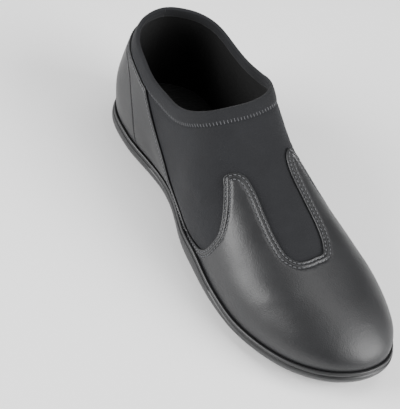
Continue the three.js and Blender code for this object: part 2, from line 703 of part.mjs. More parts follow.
// The outsole's section: tread, rolled side, beaded edge, and the cup that takes the upper
const CUP_ROWS = 5;
const ROLL_ROWS = 5;
const ROLL_SHARE = 0.62; // of the side's height
function soleRun(ring) {
  const { foot, ahead } = sectionAt(ring);
  const at = (r, z) => inSection(ring, r, z);
  const edgeOf = (rib) => (rib.medial ? rib.lipMedial : rib.lipLateral);
  const rollOf = (rib) => (rib.medial ? rib.rollMedial : rib.rollLateral);
  const wallTop = CUP_HEIGHT * ringValue(ring, edgeOf);
  const roll = SOLE_ROLL * ringValue(ring, rollOf);
  const radius = (point) => (point.x - foot.x) * ahead.x + (point.y - foot.y) * ahead.y;
  const ground = (r) => treadHeight(foot.x + r * ahead.x);
  const up = climb(ring, CUP_FACE, (point) => ground(radius(point)) + wallTop);
  const edge = offSection(ring, up, CUP_FACE);
  const cup = Array.from({ length: CUP_ROWS + 1 }, (_, n) => offSection(ring, up * (1 - n / CUP_ROWS), CUP_FACE));
  const [lip, lipZ] = [radius(edge) + LIP, edge.z];
  const side = lip + BULGE;
  const under = ground(lip) + TREAD_STEP;
  const rollTop = under + (lipZ - under) * ROLL_SHARE;
  const rolled = Array.from({ length: ROLL_ROWS + 1 }, (_, n) => {
    const angle = 90 * RADIANS * (1 - n / ROLL_ROWS);
    return at(side - roll * (1 - Math.cos(angle)), rollTop - (rollTop - under) * Math.sin(angle));
  });
  const tread = side - roll - TREAD_INSET;
  return [
    at(0, treadHeight(foot.x)),
    at(tread * 0.5, ground(tread * 0.5)),
    at(tread - TREAD_STEP / 3, ground(tread)),
    at(tread, ground(tread) + TREAD_STEP),
    ...rolled,
    at(lip - BEAD_GROOVE, lipZ - 2 * BEAD),
    at(lip, lipZ - BEAD),
    at(lip - LIP / 2, lipZ + BEAD / 3),
    ...cup,
    at(0, bedHeight(foot.x)),
  ];
}

// A line across the tread, from the lateral side to the medial
const LINE_STEPS = 24;
function acrossTread(rows) {
  const places = rows.map(({ at, side }) => new THREE.Vector3(at * LAST_LENGTH, side * BALL_WIDTH, 0));
  return new THREE.CatmullRomCurve3(places).getPoints(LINE_STEPS);
}

// A block with that outline in plan, from below the floor up to a height
const BELOW_FLOOR = 20;
function planBlock(outline, top) {
  const shape = new THREE.Shape(outline.map(({ x, y }) => new THREE.Vector2(x, y)));
  const block = new THREE.ExtrudeGeometry(shape, { depth: BELOW_FLOOR + top, bevelEnabled: false });
  return solidOf(block.translate(0, 0, -BELOW_FLOOR));
}

function flexGrooveCutter() {
  const line = acrossTread(flexGroove);
  const half = GROOVE_WIDTH / 2;
  const outline = [
    ...line.map(({ x, y }) => ({ x: x + half, y })),
    ...[...line].reverse().map(({ x, y }) => ({ x: x - half, y })),
  ];
  return planBlock(outline, treadHeight(line[LINE_STEPS / 2].x) + GROOVE_DEPTH);
}

// The room under the waist follows the tread's own line in side view
function waistCutter() {
  const [back, front] = [acrossTread(heelPadFront), acrossTread(forefootPadBack)];
  const between = planBlock([...back, ...front.reverse()], CUP_HEIGHT);
  const first = Math.min(...back.map(({ x }) => x)) - 1;
  const last = Math.max(...front.map(({ x }) => x)) + 1;
  const line = Array.from({ length: LINE_STEPS + 1 }, (_, n) => {
    const x = first + ((last - first) * n) / LINE_STEPS;
    return new THREE.Vector2(x, treadHeight(x) + WAIST_STEP);
  });
  const shape = new THREE.Shape([
    ...line,
    new THREE.Vector2(last, -BELOW_FLOOR),
    new THREE.Vector2(first, -BELOW_FLOOR),
  ]);
  const below = new THREE.ExtrudeGeometry(shape, { depth: 2 * BALL_WIDTH, bevelEnabled: false });
  return between.intersect(solidOf(below.rotateX(90 * RADIANS).translate(0, BALL_WIDTH, 0)));
}

function makeOutsole() {
  return ringSolid(soleRun).subtract(flexGrooveCutter()).subtract(waistCutter());
}

const rubber = { color: 0x232426, roughness: 0.55, metalness: 0 };
const leatherFinish = { color: 0x2b2c2e, roughness: 0.42, metalness: 0 };
const stretch = { color: 0x1d1e20, roughness: 0.85, metalness: 0 };
const sock = { color: 0x141416, roughness: 0.95, metalness: 0 };

const shoe = new THREE.Group();

function addPiece(name, solid, finish) {
  const mesh = solid.getMesh();
  const place = new Float32Array(mesh.numVert * 3);
  for (let n = 0; n < mesh.numVert; n++)
    place.set(mesh.vertProperties.subarray(n * mesh.numProp, n * mesh.numProp + 3), n * 3);
  const geometry = new THREE.BufferGeometry().setAttribute("position", new THREE.BufferAttribute(place, 3));
  geometry.setIndex(new THREE.BufferAttribute(new Uint32Array(mesh.triVerts), 1));
  geometry.computeVertexNormals();
  const piece = new THREE.Mesh(geometry, new THREE.MeshStandardMaterial(finish));
  piece.name = name;
  shoe.add(piece);
}

const leather = makeLeather();
addPiece("outsole", makeOutsole(), rubber);
addPiece("bootie", makeBootie(), stretch);
addPiece("insole", makeInsole(), sock);
addPiece("vamp", makeVamp(leather), leatherFinish);
addPiece("quarter", makeQuarter(leather), leatherFinish);
addPiece("counter", makeCounter(leather), leatherFinish);

// The origin is on the floor, under the middle of the shoe
const extent = new THREE.Box3().setFromObject(shoe);
shoe.position.set(-(extent.min.x + extent.max.x) / 2, -(extent.min.y + extent.max.y) / 2, -extent.min.z);

export default shoe;
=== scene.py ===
"""Looks of the color guard shoe, laid over the same last as the solids: a stretch bootie with a
stitched leather vamp, quarter and counter, an insole and a rubber outsole.

The last is worked out in millimetres, with the toe towards +X and the lateral side towards -Y. A place
on it is a rib number from the heel, and its share of the way round from the ridge to the feather edge,
lateral negative.
"""

import math

import bmesh
import bpy
import numpy as np
from mathutils import Matrix, Vector
from mathutils.geometry import delaunay_2d_cdt


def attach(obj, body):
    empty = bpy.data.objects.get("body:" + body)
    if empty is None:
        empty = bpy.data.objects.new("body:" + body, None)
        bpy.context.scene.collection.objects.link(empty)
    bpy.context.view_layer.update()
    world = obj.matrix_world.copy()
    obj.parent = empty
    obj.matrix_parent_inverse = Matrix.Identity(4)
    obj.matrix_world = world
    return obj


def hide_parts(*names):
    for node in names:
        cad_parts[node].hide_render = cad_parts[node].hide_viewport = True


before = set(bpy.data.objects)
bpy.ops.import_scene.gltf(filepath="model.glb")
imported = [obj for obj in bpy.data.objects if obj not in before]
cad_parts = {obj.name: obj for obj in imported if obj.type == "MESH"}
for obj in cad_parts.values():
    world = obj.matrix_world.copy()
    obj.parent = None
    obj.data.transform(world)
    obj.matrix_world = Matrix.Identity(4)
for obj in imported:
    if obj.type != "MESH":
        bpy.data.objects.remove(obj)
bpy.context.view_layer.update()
bpy.ops.object.select_all(action="DESELECT")

MM = 0.001

# Driving sizes in millimetres. They are the solids' own, apart from the rise of the collar towards the
# medial side, which is 12 there and spread over the last in another way
LAST_LENGTH = 252
BALL_WIDTH = 94
THROAT_HEIGHT = 87
BACK_HEIGHT = 77
MEDIAL_RISE = 14
TUCK = 3.6
HEEL_THICKNESS = 9
BALL_THICKNESS = 5.5
TOE_SPRING = 8
ARCH_RISE = 2.6
CUP_HEIGHT = 17
LIP = 1.8
BULGE = 0.6
BEAD = 1.2
BEAD_GROOVE = 0.5
SOLE_ROLL = 6
ROLL_SHARE = 0.62
TREAD_STEP = 1.4
TREAD_INSET = 1.2
WAIST_STEP = 1.1
GROOVE_WIDTH = 2.0
GROOVE_DEPTH = 1.2
WALL = 2.2
LEATHER = 1.3
GAP = 0.3
BAND_WIDTH = 8
BAND_STEP = 0.5
MARGIN = 9
COLLAR_HALF_WIDTH = 0.35
INSOLE_THICKNESS = 3
INSOLE_EASE = 0.8
LEATHER_FACE = GAP + LEATHER
CUP_FACE = LEATHER_FACE + GAP


def table(columns, *rows):
    """Rows of numbers as one array for each named column"""
    return {name: np.array([row[n] for row in rows], float) for n, name in enumerate(columns)}


# Plan of the last at its widest line, as shares of LAST_LENGTH and BALL_WIDTH
PLAN = table(
    ("at", "side"),
    (-0.014, 0), (0.01, -0.215), (0.066, -0.347), (0.16, -0.378), (0.28, -0.355), (0.39, -0.361),
    (0.49, -0.392), (0.59, -0.398), (0.68, -0.404), (0.77, -0.383), (0.855, -0.315),
    (0.925, -0.213), (0.979, -0.06), (1.0, 0.11), (0.988, 0.275), (0.94, 0.4), (0.86, 0.472),
    (0.77, 0.49), (0.69, 0.462), (0.6, 0.41), (0.5, 0.365), (0.4, 0.352), (0.28, 0.358),
    (0.17, 0.35), (0.075, 0.315), (0.018, 0.195),
)

# Sections from the back of the heel to the toe tip: foot on the spine, direction, height of the widest
# line, and on each side the crown, the tuck, the cup's edge and the roll of the sole
RIBS = table(
    "at shift turn wide crown_l crown_m tuck_l tuck_m lip_l lip_m roll_l roll_m".split(),
    (0.128, 0, 180, 0.23, 1.45, 1.45, 1.6, 1.6, 1, 1, 1.8, 1.8),
    (0.131, 0, 150, 0.23, 1.65, 1.4, 1.6, 1.6, 1, 1, 1.8, 1.75),
    (0.14, 0.002, 120, 0.22, 2, 1.25, 1.6, 1.6, 0.9, 0.97, 1.7, 1.6),
    (0.17, 0.006, 98, 0.2, 2, 0.92, 1.8, 1.8, 0.82, 0.93, 1.6, 1.5),
    (0.255, 0.015, 90, 0.2, 1.4, 0.72, 2.4, 2.6, 0.76, 0.9, 1.5, 1.5),
    (0.36, 0.025, 90, 0.22, 0.85, 0.54, 3.4, 3.3, 0.7, 0.92, 1.4, 1.5),
    (0.465, 0.035, 90, 0.24, 0.63, 0.54, 3.2, 3.1, 0.76, 0.94, 1.2, 1.4),
    (0.565, 0.045, 90, 0.25, 0.66, 0.64, 1.5, 1.7, 0.94, 0.88, 1, 1.15),
    (0.66, 0.055, 89, 0.27, 0.76, 0.76, 1, 0.85, 0.76, 0.73, 1, 0.9),
    (0.745, 0.06, 82, 0.3, 0.84, 0.84, 1.1, 0.75, 0.61, 0.62, 1.1, 0.8),
    (0.8, 0.063, 68, 0.33, 0.9, 0.9, 1.1, 0.75, 0.59, 0.6, 1.1, 0.8),
    (0.83, 0.065, 50, 0.35, 0.9, 0.9, 1, 0.75, 0.6, 0.61, 1.1, 0.8),
    (0.846, 0.066, 32, 0.36, 0.9, 0.9, 0.75, 0.75, 0.63, 0.63, 1, 1),
    (0.853, 0.066, 15, 0.36, 0.9, 0.9, 0.75, 0.75, 0.66, 0.66, 1, 1),
    (0.855, 0.066, 0, 0.36, 0.9, 0.9, 0.75, 0.75, 0.67, 0.67, 1, 1),
)

# Top line of the last in side view, as shares of THROAT_HEIGHT
RIDGE = table(
    ("at", "height"),
    (0.0, 1.5), (0.12, 1.45), (0.2, 1.38), (0.3, 1.24), (0.4, 1.03), (0.45, 0.93), (0.5, 0.845),
    (0.56, 0.755), (0.63, 0.67), (0.7, 0.6), (0.78, 0.535), (0.86, 0.475), (0.93, 0.425),
    (1.0, 0.37),
)

# Underside in side view: shares of TOE_SPRING, of ARCH_RISE, and of the step from ball to heel
BED = table(
    ("at", "spring", "arch", "heel"),
    (-0.05, 0, 0, 1), (0.2, 0, 0, 1), (0.32, 0, 0.65, 0.85), (0.43, 0, 1, 0.55),
    (0.54, 0, 0.5, 0.2), (0.63, 0, 0, 0), (0.75, 0, 0, 0), (0.84, 0.2, 0, 0), (0.92, 0.54, 0, 0),
    (1.0, 1, 0, 0), (1.05, 1.3, 0, 0),
)

# Collar in side view: shares of BACK_HEIGHT, and of MEDIAL_RISE on the medial side
COLLAR = table(
    ("at", "height", "rise"),
    (-0.1, 1.01, 0), (0.03, 1, 0), (0.12, 0.93, 0.15), (0.22, 0.87, 0.42), (0.3, 0.89, 0.78),
    (0.34, 0.937, 1), (0.38, 1.02, 0.92), (0.41, 1.1, 0.62), (0.45, 1.35, 0.3),
)

# Cut edge of the leather from the back of the heel: the quarter's lateral top edge, the lateral gore and
# wing, the tongue, the medial wing and gore, and the quarter's medial top edge
LEATHER_EDGE = table(
    ("rib", "around"),
    (-0.6, -0.47), (0.6, -0.455), (1.5, -0.448), (2.4, -0.465), (3.2, -0.535), (3.6, -0.6),
    (4.2, -0.69), (4.9, -0.76), (5.5, -0.83), (6.2, -0.87), (6.9, -0.85), (7.3, -0.79),
    (7.52, -0.68), (7.56, -0.58), (7.44, -0.505), (7.12, -0.415), (6.84, -0.358), (6.66, -0.318),
    (6.69, -0.262), (6.83, -0.212), (7.22, -0.19), (7.9, -0.205), (8.5, -0.215), (8.95, -0.195),
    (9.25, -0.12), (9.33, -0.02), (9.24, 0.07), (8.92, 0.125), (8.4, 0.15), (7.7, 0.14),
    (6.95, 0.125), (6.62, 0.145), (6.5, 0.185), (6.56, 0.23), (6.8, 0.28), (7.12, 0.35),
    (7.45, 0.44), (7.6, 0.54), (7.55, 0.65), (7.3, 0.74), (6.9, 0.79), (6.2, 0.81), (5.5, 0.78),
    (4.9, 0.72), (4.2, 0.655), (3.6, 0.6), (3.2, 0.53), (2.4, 0.465), (1.5, 0.448), (0.6, 0.455),
    (-0.6, 0.47),
)
LATERAL_SEAM = table(("rib", "around"), (6.3, -0.6), (6.45, -0.84), (6.6, -0.95), (6.65, -1.4))
MEDIAL_SEAM = table(("rib", "around"), (6.2, 0.6), (6.4, 0.78), (6.7, 0.92), (6.8, 1.4))
COUNTER_SEAM = table(
    ("rib", "around"),
    (-0.6, 0.575), (0.6, 0.565), (1.6, 0.565), (2.4, 0.6), (3, 0.685), (3.4, 0.81), (3.53, 0.95),
    (3.55, 1.4),
)

# Lines across the tread, as shares of LAST_LENGTH and BALL_WIDTH
FLEX_GROOVE = table(
    ("at", "side"), (0.8, -0.62), (0.785, -0.3), (0.765, 0), (0.73, 0.3), (0.69, 0.62)
)
HEEL_PAD_FRONT = table(
    ("at", "side"), (0.25, -0.62), (0.31, -0.3), (0.345, -0.05), (0.325, 0.22), (0.25, 0.62)
)
FOREFOOT_PAD_BACK = table(
    ("at", "side"), (0.57, -0.62), (0.55, -0.35), (0.535, 0), (0.5, 0.3), (0.46, 0.62)
)

# Soft troughs and ridges of wear: a line on the last for each, and how far it spreads and how high it
# stands in millimetres, where a trough is negative
CREASES = (
    {"line": ((5.75, -0.1), (6.3, -0.04), (6.9, -0.03), (7.6, -0.03)), "spread": 7, "depth": -0.9},
    {"line": ((5.9, -0.42), (6.3, -0.36), (6.6, -0.26)), "spread": 5, "depth": -0.6},
    {"line": ((5.6, -0.62), (6.2, -0.55), (6.9, -0.5)), "spread": 7, "depth": 0.7},
    {"line": ((5.9, 0.3), (6.4, 0.4), (6.9, 0.5)), "spread": 6, "depth": -0.7},
    {"line": ((8.4, -0.62), (8.7, -0.5), (9.1, -0.36), (9.5, -0.24)), "spread": 7, "depth": -0.3},
    {"line": ((8.6, 0.66), (8.9, 0.5), (9.2, 0.36), (9.5, 0.22)), "spread": 7, "depth": -0.35},
    {"line": ((9.3, -0.6), (9.7, -0.45), (10.1, -0.3)), "spread": 5, "depth": 0.4},
    {"line": ((3.9, -0.8), (4.5, -0.84), (5.2, -0.88)), "spread": 5, "depth": -0.6},
    {"line": ((3.9, 0.8), (4.5, 0.84), (5.2, 0.88)), "spread": 5, "depth": -0.6},
    {"line": ((0.8, -0.72), (1.6, -0.74), (2.4, -0.78)), "spread": 8, "depth": 0.6},
)

# Where the face turns into the ridge, and how creases fade towards their ends
RIDGE_BLEND_FROM = 0.955
RIDGE_BLEND_OVER = 0.045
CREASE_STEPS = 24
CREASE_END_FADE = 4
CREASE_END_DEPTH = 0.3

# Fineness of the dense last, the panels and the sole
GRID_PER_RIB = 32
SHARE_LOW = -0.16
SHARE_STEP = 0.006
LOW_STEPS = 24
PROFILE_STEPS = 72
PLAN_STEPS = 520
SEAM_STEPS = 60
NUDGE = 0.01
HALVINGS = 40
CHART_RIB = 18.0  # mm for each rib, about, where a panel lies flat
CHART_AROUND = 95.0  # and mm for the whole way round
BATCH = 3000  # points that are measured at a time
SAME_PLACE = 1e-7
ROW_CLEARANCE = 0.9  # share of its distance that each point of a row keeps from all of the edge
FIELD_CLEARANCE = 0.5  # share of the pitch that a field keeps from the last row
BORDER_CLEARANCE = 0.45  # and from the outline
FIELD_STEPS = 500
UNDER_EXTRA = 3  # how far the plain last's underside reaches inward, past MARGIN
LEATHER_PITCH = 1.3
STRETCH_PITCH = 1.7
EDGE_PITCH = 1.0
FINE_PITCH = 0.12
BOTTOM_PITCH = 2
UNDER_LEATHER = 1.05  # how far round a panel reaches, past the feather edge
UNDER_STRETCH = 1.1
CHART_NEAR = 1e-5  # points closer than this are one
TREAD_NEAR = 1e-4

HALF_RING = len(RIBS["at"]) - 1
RING = 2 * HALF_RING


def through(rows, key):
    """Smooth curve through a column that keeps level stretches level"""
    at, value = rows["at"], rows[key]
    steps = np.diff(value) / np.diff(at)
    slope = np.concatenate([steps[:1], np.zeros(len(at) - 2), steps[-1:]])
    product = steps[:-1] * steps[1:]
    total = np.where(product > 0, steps[:-1] + steps[1:], 1)
    slope[1:-1] = np.where(product > 0, 2 * product / total, 0)

    def curve(x):
        x = np.asarray(x, float)
        n = np.clip(np.searchsorted(at, x, side="right") - 1, 0, len(at) - 2)
        width = at[n + 1] - at[n]
        u = (x - at[n]) / width
        between = (
            value[n] * (2 * u**3 - 3 * u**2 + 1)
            + slope[n] * width * (u**3 - 2 * u**2 + u)
            + value[n + 1] * (3 * u**2 - 2 * u**3)
            + slope[n + 1] * width * (u**3 - u**2)
        )
        before = value[0] + slope[0] * (x - at[0])
        after = value[-1] + slope[-1] * (x - at[-1])
        return np.where(x <= at[0], before, np.where(x >= at[-1], after, between))

    return curve


ridge_share = through(RIDGE, "height")
spring_share = through(BED, "spring")
arch_share = through(BED, "arch")
heel_share = through(BED, "heel")
collar_share = through(COLLAR, "height")
rise_share = through(COLLAR, "rise")


def ridge_height(x):
    return THROAT_HEIGHT * ridge_share(x / LAST_LENGTH)


def ridge_slope(x):
    return (ridge_height(x + 1) - ridge_height(x - 1)) / 2


def tread_height(x):
    return TOE_SPRING * spring_share(x / LAST_LENGTH) + ARCH_RISE * arch_share(x / LAST_LENGTH)


def bed_height(x):
    thickness = BALL_THICKNESS + (HEEL_THICKNESS - BALL_THICKNESS) * heel_share(x / LAST_LENGTH)
    return tread_height(x) + thickness


def collar_height(x, y):
    """The collar's height, which climbs from the lateral wall to the medial one"""
    medial = np.clip(y / (COLLAR_HALF_WIDTH * BALL_WIDTH), 0, 1.2)
    return BACK_HEIGHT * collar_share(x / LAST_LENGTH) + MEDIAL_RISE * rise_share(x / LAST_LENGTH) * medial


def smooth_line(points, steps, closed=False):
    """Even steps along a centripetal curve through the points"""
    points = np.asarray(points, float)
    count = len(points)
    place = np.linspace(0, 1, steps + 1) * (count if closed else count - 1)
    n = np.minimum(np.floor(place).astype(int), count if closed else count - 2)
    u = (place - n)[:, None]
    if closed:
        a, b, c, d = (points[(n + k) % count] for k in (-1, 0, 1, 2))
    else:
        ends = np.vstack([2 * points[0] - points[1], points, 2 * points[-1] - points[-2]])
        a, b, c, d = (ends[n + k] for k in (0, 1, 2, 3))
    ab, bc, cd = (np.linalg.norm(q - p, axis=1)[:, None] ** 0.5 for p, q in ((a, b), (b, c), (c, d)))
    leave = ((b - a) / ab - (c - a) / (ab + bc) + (c - b) / bc) * bc
    arrive = ((c - b) / bc - (d - b) / (bc + cd) + (d - c) / cd) * bc
    return b + leave * u + (3 * (c - b) - 2 * leave - arrive) * u**2 + (2 * (b - c) + leave + arrive) * u**3


def in_plan(rows):
    """A table's places along and across the shoe, in millimetres"""
    return np.stack([rows["at"] * LAST_LENGTH, rows["side"] * BALL_WIDTH], 1)


PLAN_LINE = smooth_line(in_plan(PLAN), PLAN_STEPS, closed=True)


def reach(foot, ahead):
    """How far the plan lies from spine points in their directions"""
    a, b = PLAN_LINE[:-1], PLAN_LINE[1:]
    off_a = a[None] - foot[:, None]
    off_b = b[None] - foot[:, None]
    side_a = ahead[:, None, 0] * off_a[:, :, 1] - ahead[:, None, 1] * off_a[:, :, 0]
    side_b = ahead[:, None, 0] * off_b[:, :, 1] - ahead[:, None, 1] * off_b[:, :, 0]
    crosses = (side_a * side_b <= 0) & (side_a != side_b)
    share = side_a / np.where(crosses, side_a - side_b, 1)
    hit = off_a + share[:, :, None] * (off_b - off_a)
    distance = (hit * ahead[:, None]).sum(2)
    return np.where(crosses & (distance > 0), distance, np.inf).min(1)


def all_round(lateral, medial):
    """A column's values at the whole rings, from the heel along the lateral side and back"""
    return np.concatenate([lateral, medial[-2:0:-1]])


def ring_value(ring, values):
    """A value at any ring, smooth all round"""
    start = np.floor(ring).astype(int)
    u = ring - start
    a, b, c, d = (values[(start + k) % RING] for k in (-1, 0, 1, 2))
    return b + 0.5 * u * (c - a + u * (2 * a - 5 * b + 4 * c - d + u * (3 * (b - c) + d - a)))


def section(ring):
    """Foot, direction and named sizes of the sections at an array of rings"""

    def value(lateral, medial):
        return ring_value(ring, all_round(lateral, medial))

    turn = np.radians(RIBS["turn"])
    at, shift = RIBS["at"], RIBS["shift"]
    foot = np.stack([LAST_LENGTH * value(at, at), BALL_WIDTH * value(shift, shift)], 1)
    ahead = np.stack([value(np.cos(turn), np.cos(turn)), value(-np.sin(turn), np.sin(turn))], 1)
    ahead /= np.linalg.norm(ahead, axis=1)[:, None]
    wide = reach(foot, ahead)
    tuck = TUCK * value(RIBS["tuck_l"], RIBS["tuck_m"])
    feather = bed_height(foot[:, 0] + (wide - tuck) * ahead[:, 0]) + CUP_FACE
    top = ridge_height(foot[:, 0])
    lean = ridge_slope(foot[:, 0]) * ahead[:, 0]
    over = top + lean * wide
    widest = feather + (over - feather) * value(RIBS["wide"], RIBS["wide"])
    return {
        "foot": foot,
        "ahead": ahead,
        "wide": wide,
        "tuck": tuck,
        "feather": feather,
        "top": top,
        "lean": lean,
        "over": over,
        "widest": widest,
        "crown": value(RIBS["crown_l"], RIBS["crown_m"]),
    }


def section_lines(s):
    """Distance from the spine and height along each section, from the feather edge to the ridge"""
    low = np.radians(90 * (1 - np.arange(LOW_STEPS + 1) / LOW_STEPS))[None]
    high = np.radians(90 * np.arange(1, PROFILE_STEPS + 1) / PROFILE_STEPS)[None]
    column = {key: value[:, None] for key, value in s.items() if value.ndim == 1}
    low_r = column["wide"] - column["tuck"] * (1 - np.cos(low))
    low_z = column["widest"] - (column["widest"] - column["feather"]) * np.sin(low)
    high_r = column["wide"] * np.clip(np.cos(high), 0, 1) ** column["crown"]
    high_r[:, -1] = 0
    crown_height = column["over"] - column["widest"]
    high_z = column["top"] + column["lean"] * high_r - crown_height * (1 - np.sin(high))
    r = np.hstack([low_r, high_r])
    z = np.hstack([low_z, high_z])
    run = np.cumsum(np.hypot(np.diff(r, axis=1), np.diff(z, axis=1)), axis=1)
    return r, z, np.hstack([np.zeros((len(r), 1)), run])


GRID_RINGS = np.arange(RING * GRID_PER_RIB + 1) / GRID_PER_RIB
GRID_SHARES = np.arange(SHARE_LOW, 1 + SHARE_STEP / 2, SHARE_STEP)
GRID_SHARES[-1] = 1


def plain_grid():
    """Points of the last over its rings and shares, still without creases"""
    s = section(GRID_RINGS)
    r, z, run = section_lines(s)
    total = run[:, -1]
    grid = np.zeros((len(GRID_RINGS), len(GRID_SHARES), 3))
    for n in range(len(GRID_RINGS)):
        up = GRID_SHARES * total[n]
        row_r = np.interp(up, run[n], r[n])
        row_z = np.interp(up, run[n], z[n])
        under = up < 0
        edge = s["wide"][n] - s["tuck"][n]
        middle = bed_height(s["foot"][n, 0]) + CUP_FACE
        row_r[under] = edge + np.maximum(up[under], -MARGIN - UNDER_EXTRA)
        row_z[under] = middle + (s["feather"][n] - middle) * row_r[under] / edge
        grid[n, :, :2] = s["foot"][n] + row_r[:, None] * s["ahead"][n]
        grid[n, :, 2] = row_z
    return grid


def grid_normals(grid):
    """Outward directions of the last's face"""
    along = np.roll(grid[:-1], -1, axis=0) - np.roll(grid[:-1], 1, axis=0)
    up = np.gradient(grid[:-1], axis=1)
    normal = np.cross(along, up)
    normal /= np.linalg.norm(normal, axis=2)[:, :, None] + 1e-9
    normal = np.concatenate([normal, normal[:1]])
    normal[:, GRID_SHARES <= 0] = (0, 0, -1)
    slope = ridge_slope(section(GRID_RINGS)["foot"][:, 0])
    ridge = np.stack([-slope, 0 * slope, 1 + 0 * slope], 1)
    ridge /= np.linalg.norm(ridge, axis=1)[:, None]
    near = np.clip((GRID_SHARES - RIDGE_BLEND_FROM) / RIDGE_BLEND_OVER, 0, 1)[None, :, None]
    normal = normal * (1 - near) + ridge[:, None] * near
    return normal / np.linalg.norm(normal, axis=2)[:, :, None]


def sample(grid, rib, around):
    """Values of a grid at places on the last"""
    rib, around = np.broadcast_arrays(np.asarray(rib, float), np.asarray(around, float))
    ring = np.where(around < 0, rib, RING - rib)
    column = np.clip(np.mod(ring, RING) * GRID_PER_RIB, 0, len(grid) - 1)
    row = np.clip((1 - np.abs(around) - SHARE_LOW) / SHARE_STEP, 0, grid.shape[1] - 1)
    n = np.minimum(column.astype(int), len(grid) - 2)
    m = np.minimum(row.astype(int), grid.shape[1] - 2)
    u = (column - n)[..., None]
    v = (row - m)[..., None]
    low = grid[n, m] * (1 - u) + grid[n + 1, m] * u
    high = grid[n, m + 1] * (1 - u) + grid[n + 1, m + 1] * u
    return low * (1 - v) + high * v


def with_creases(grid, normal):
    """The grid moved in and out by the creases, each fading with distance from its line"""
    moved = grid.copy()
    for crease in CREASES:
        line = smooth_line(crease["line"], CREASE_STEPS)
        places = sample(grid, line[:, 0], line[:, 1])
        fade = np.clip(np.linspace(0, 1, len(places)) * CREASE_END_FADE, 0, 1)
        fade *= np.clip(np.linspace(1, 0, len(places)) * CREASE_END_FADE, 0, 1)
        full = CREASE_END_DEPTH + (1 - CREASE_END_DEPTH) * fade
        spread = crease["spread"]
        near = np.abs(grid[:, :, 0] - places[:, 0].mean()) < np.ptp(places[:, 0]) + 3 * spread
        distance = np.linalg.norm(grid[near][:, None] - places[None], axis=2)
        depth = (np.exp(-((distance / spread) ** 2)) * full).max(1) * crease["depth"]
        moved[near] += normal[near] * depth[:, None]
    return moved


PLAIN_GRID = plain_grid()
PLAIN_NORMALS = grid_normals(PLAIN_GRID)
GRID = with_creases(PLAIN_GRID, PLAIN_NORMALS)
GRID_NORMALS = grid_normals(GRID)


def on_last(rib, around, off=0.0):
    """Points at a distance off the last's face"""
    point = sample(GRID, rib, around)
    normal = sample(GRID_NORMALS, rib, around)
    normal /= np.linalg.norm(normal, axis=-1)[..., None]
    return point + normal * np.asarray(off, float)[..., None]


def normal_at(rib, around):
    normal = sample(GRID_NORMALS, rib, around)
    return normal / np.linalg.norm(normal, axis=-1)[..., None]


# Lines on the last


def drawn(rows, steps=SEAM_STEPS):
    """A table of ribs and shares as a smooth line"""
    return smooth_line(np.stack([rows["rib"], rows["around"]], 1), steps)


def even(line, pitch):
    """The line with its points at an even distance on the last"""
    places = on_last(line[:, 0], line[:, 1])
    run = np.concatenate([[0], np.cumsum(np.linalg.norm(np.diff(places, axis=0), axis=1))])
    count = max(2, int(round(run[-1] / pitch)) + 1)
    at = np.linspace(0, run[-1], count)
    return np.stack([np.interp(at, run, line[:, 0]), np.interp(at, run, line[:, 1])], 1)


def crossing(first, second):
    """Where one line first meets another: the step of each, and the point"""
    for n in range(len(first) - 1):
        a, b = first[n], first[n + 1]
        c, d = second[:-1], second[1:]
        along = b - a
        other = d - c
        cross = along[0] * other[:, 1] - along[1] * other[:, 0]
        cross = np.where(np.abs(cross) < 1e-12, 1e-12, cross)
        t = ((c[:, 0] - a[0]) * other[:, 1] - (c[:, 1] - a[1]) * other[:, 0]) / cross
        s = ((c[:, 0] - a[0]) * along[1] - (c[:, 1] - a[1]) * along[0]) / cross
        hits = np.flatnonzero((t >= 0) & (t <= 1) & (s >= 0) & (s <= 1))
        if len(hits):
            return n, hits[0], a + t[hits[0]] * along
    raise ValueError("the lines don't meet")


def inward(line, distance, side):
    """The line moved over the last's face by a distance, to its left (1) or right (-1)"""
    step = np.gradient(line, axis=0)
    rib, around = line[:, 0], line[:, 1]
    d_rib = (on_last(rib + NUDGE, around) - on_last(rib - NUDGE, around)) / (2 * NUDGE)
    d_around = (on_last(rib, around + NUDGE) - on_last(rib, around - NUDGE)) / (2 * NUDGE)
    tangent = d_rib * step[:, :1] + d_around * step[:, 1:]
    tangent /= np.linalg.norm(tangent, axis=1)[:, None] + 1e-9
    across = np.cross(normal_at(rib, around), tangent) * side
    pairs = (np.stack([u, v], 1) for u, v in zip(d_rib, d_around))
    moves = [np.linalg.lstsq(pair, w, rcond=None)[0] for pair, w in zip(pairs, across)]
    return line + np.array(moves) * distance


# Where the collar's front ends, how far round the search for its edge goes, and its fineness
COLLAR_TURN = 0.3
COLLAR_LOWEST = 0.97
COLLAR_FRONT_RIBS = (3.0, 7.0)
FRONT_STEPS = 41
SIDE_STEPS = 89
COLLAR_SMOOTHINGS = 30


def above_collar(rib, around):
    point = sample(GRID, rib, around)
    return point[..., 2] - collar_height(point[..., 0], point[..., 1])


def halved(above, near, far):
    """Where a value above nothing falls to nothing between two arrays of places"""
    for _ in range(HALVINGS):
        middle = (near + far) / 2
        up = above(middle) > 0
        near, far = np.where(up, middle, near), np.where(up, far, middle)
    return near


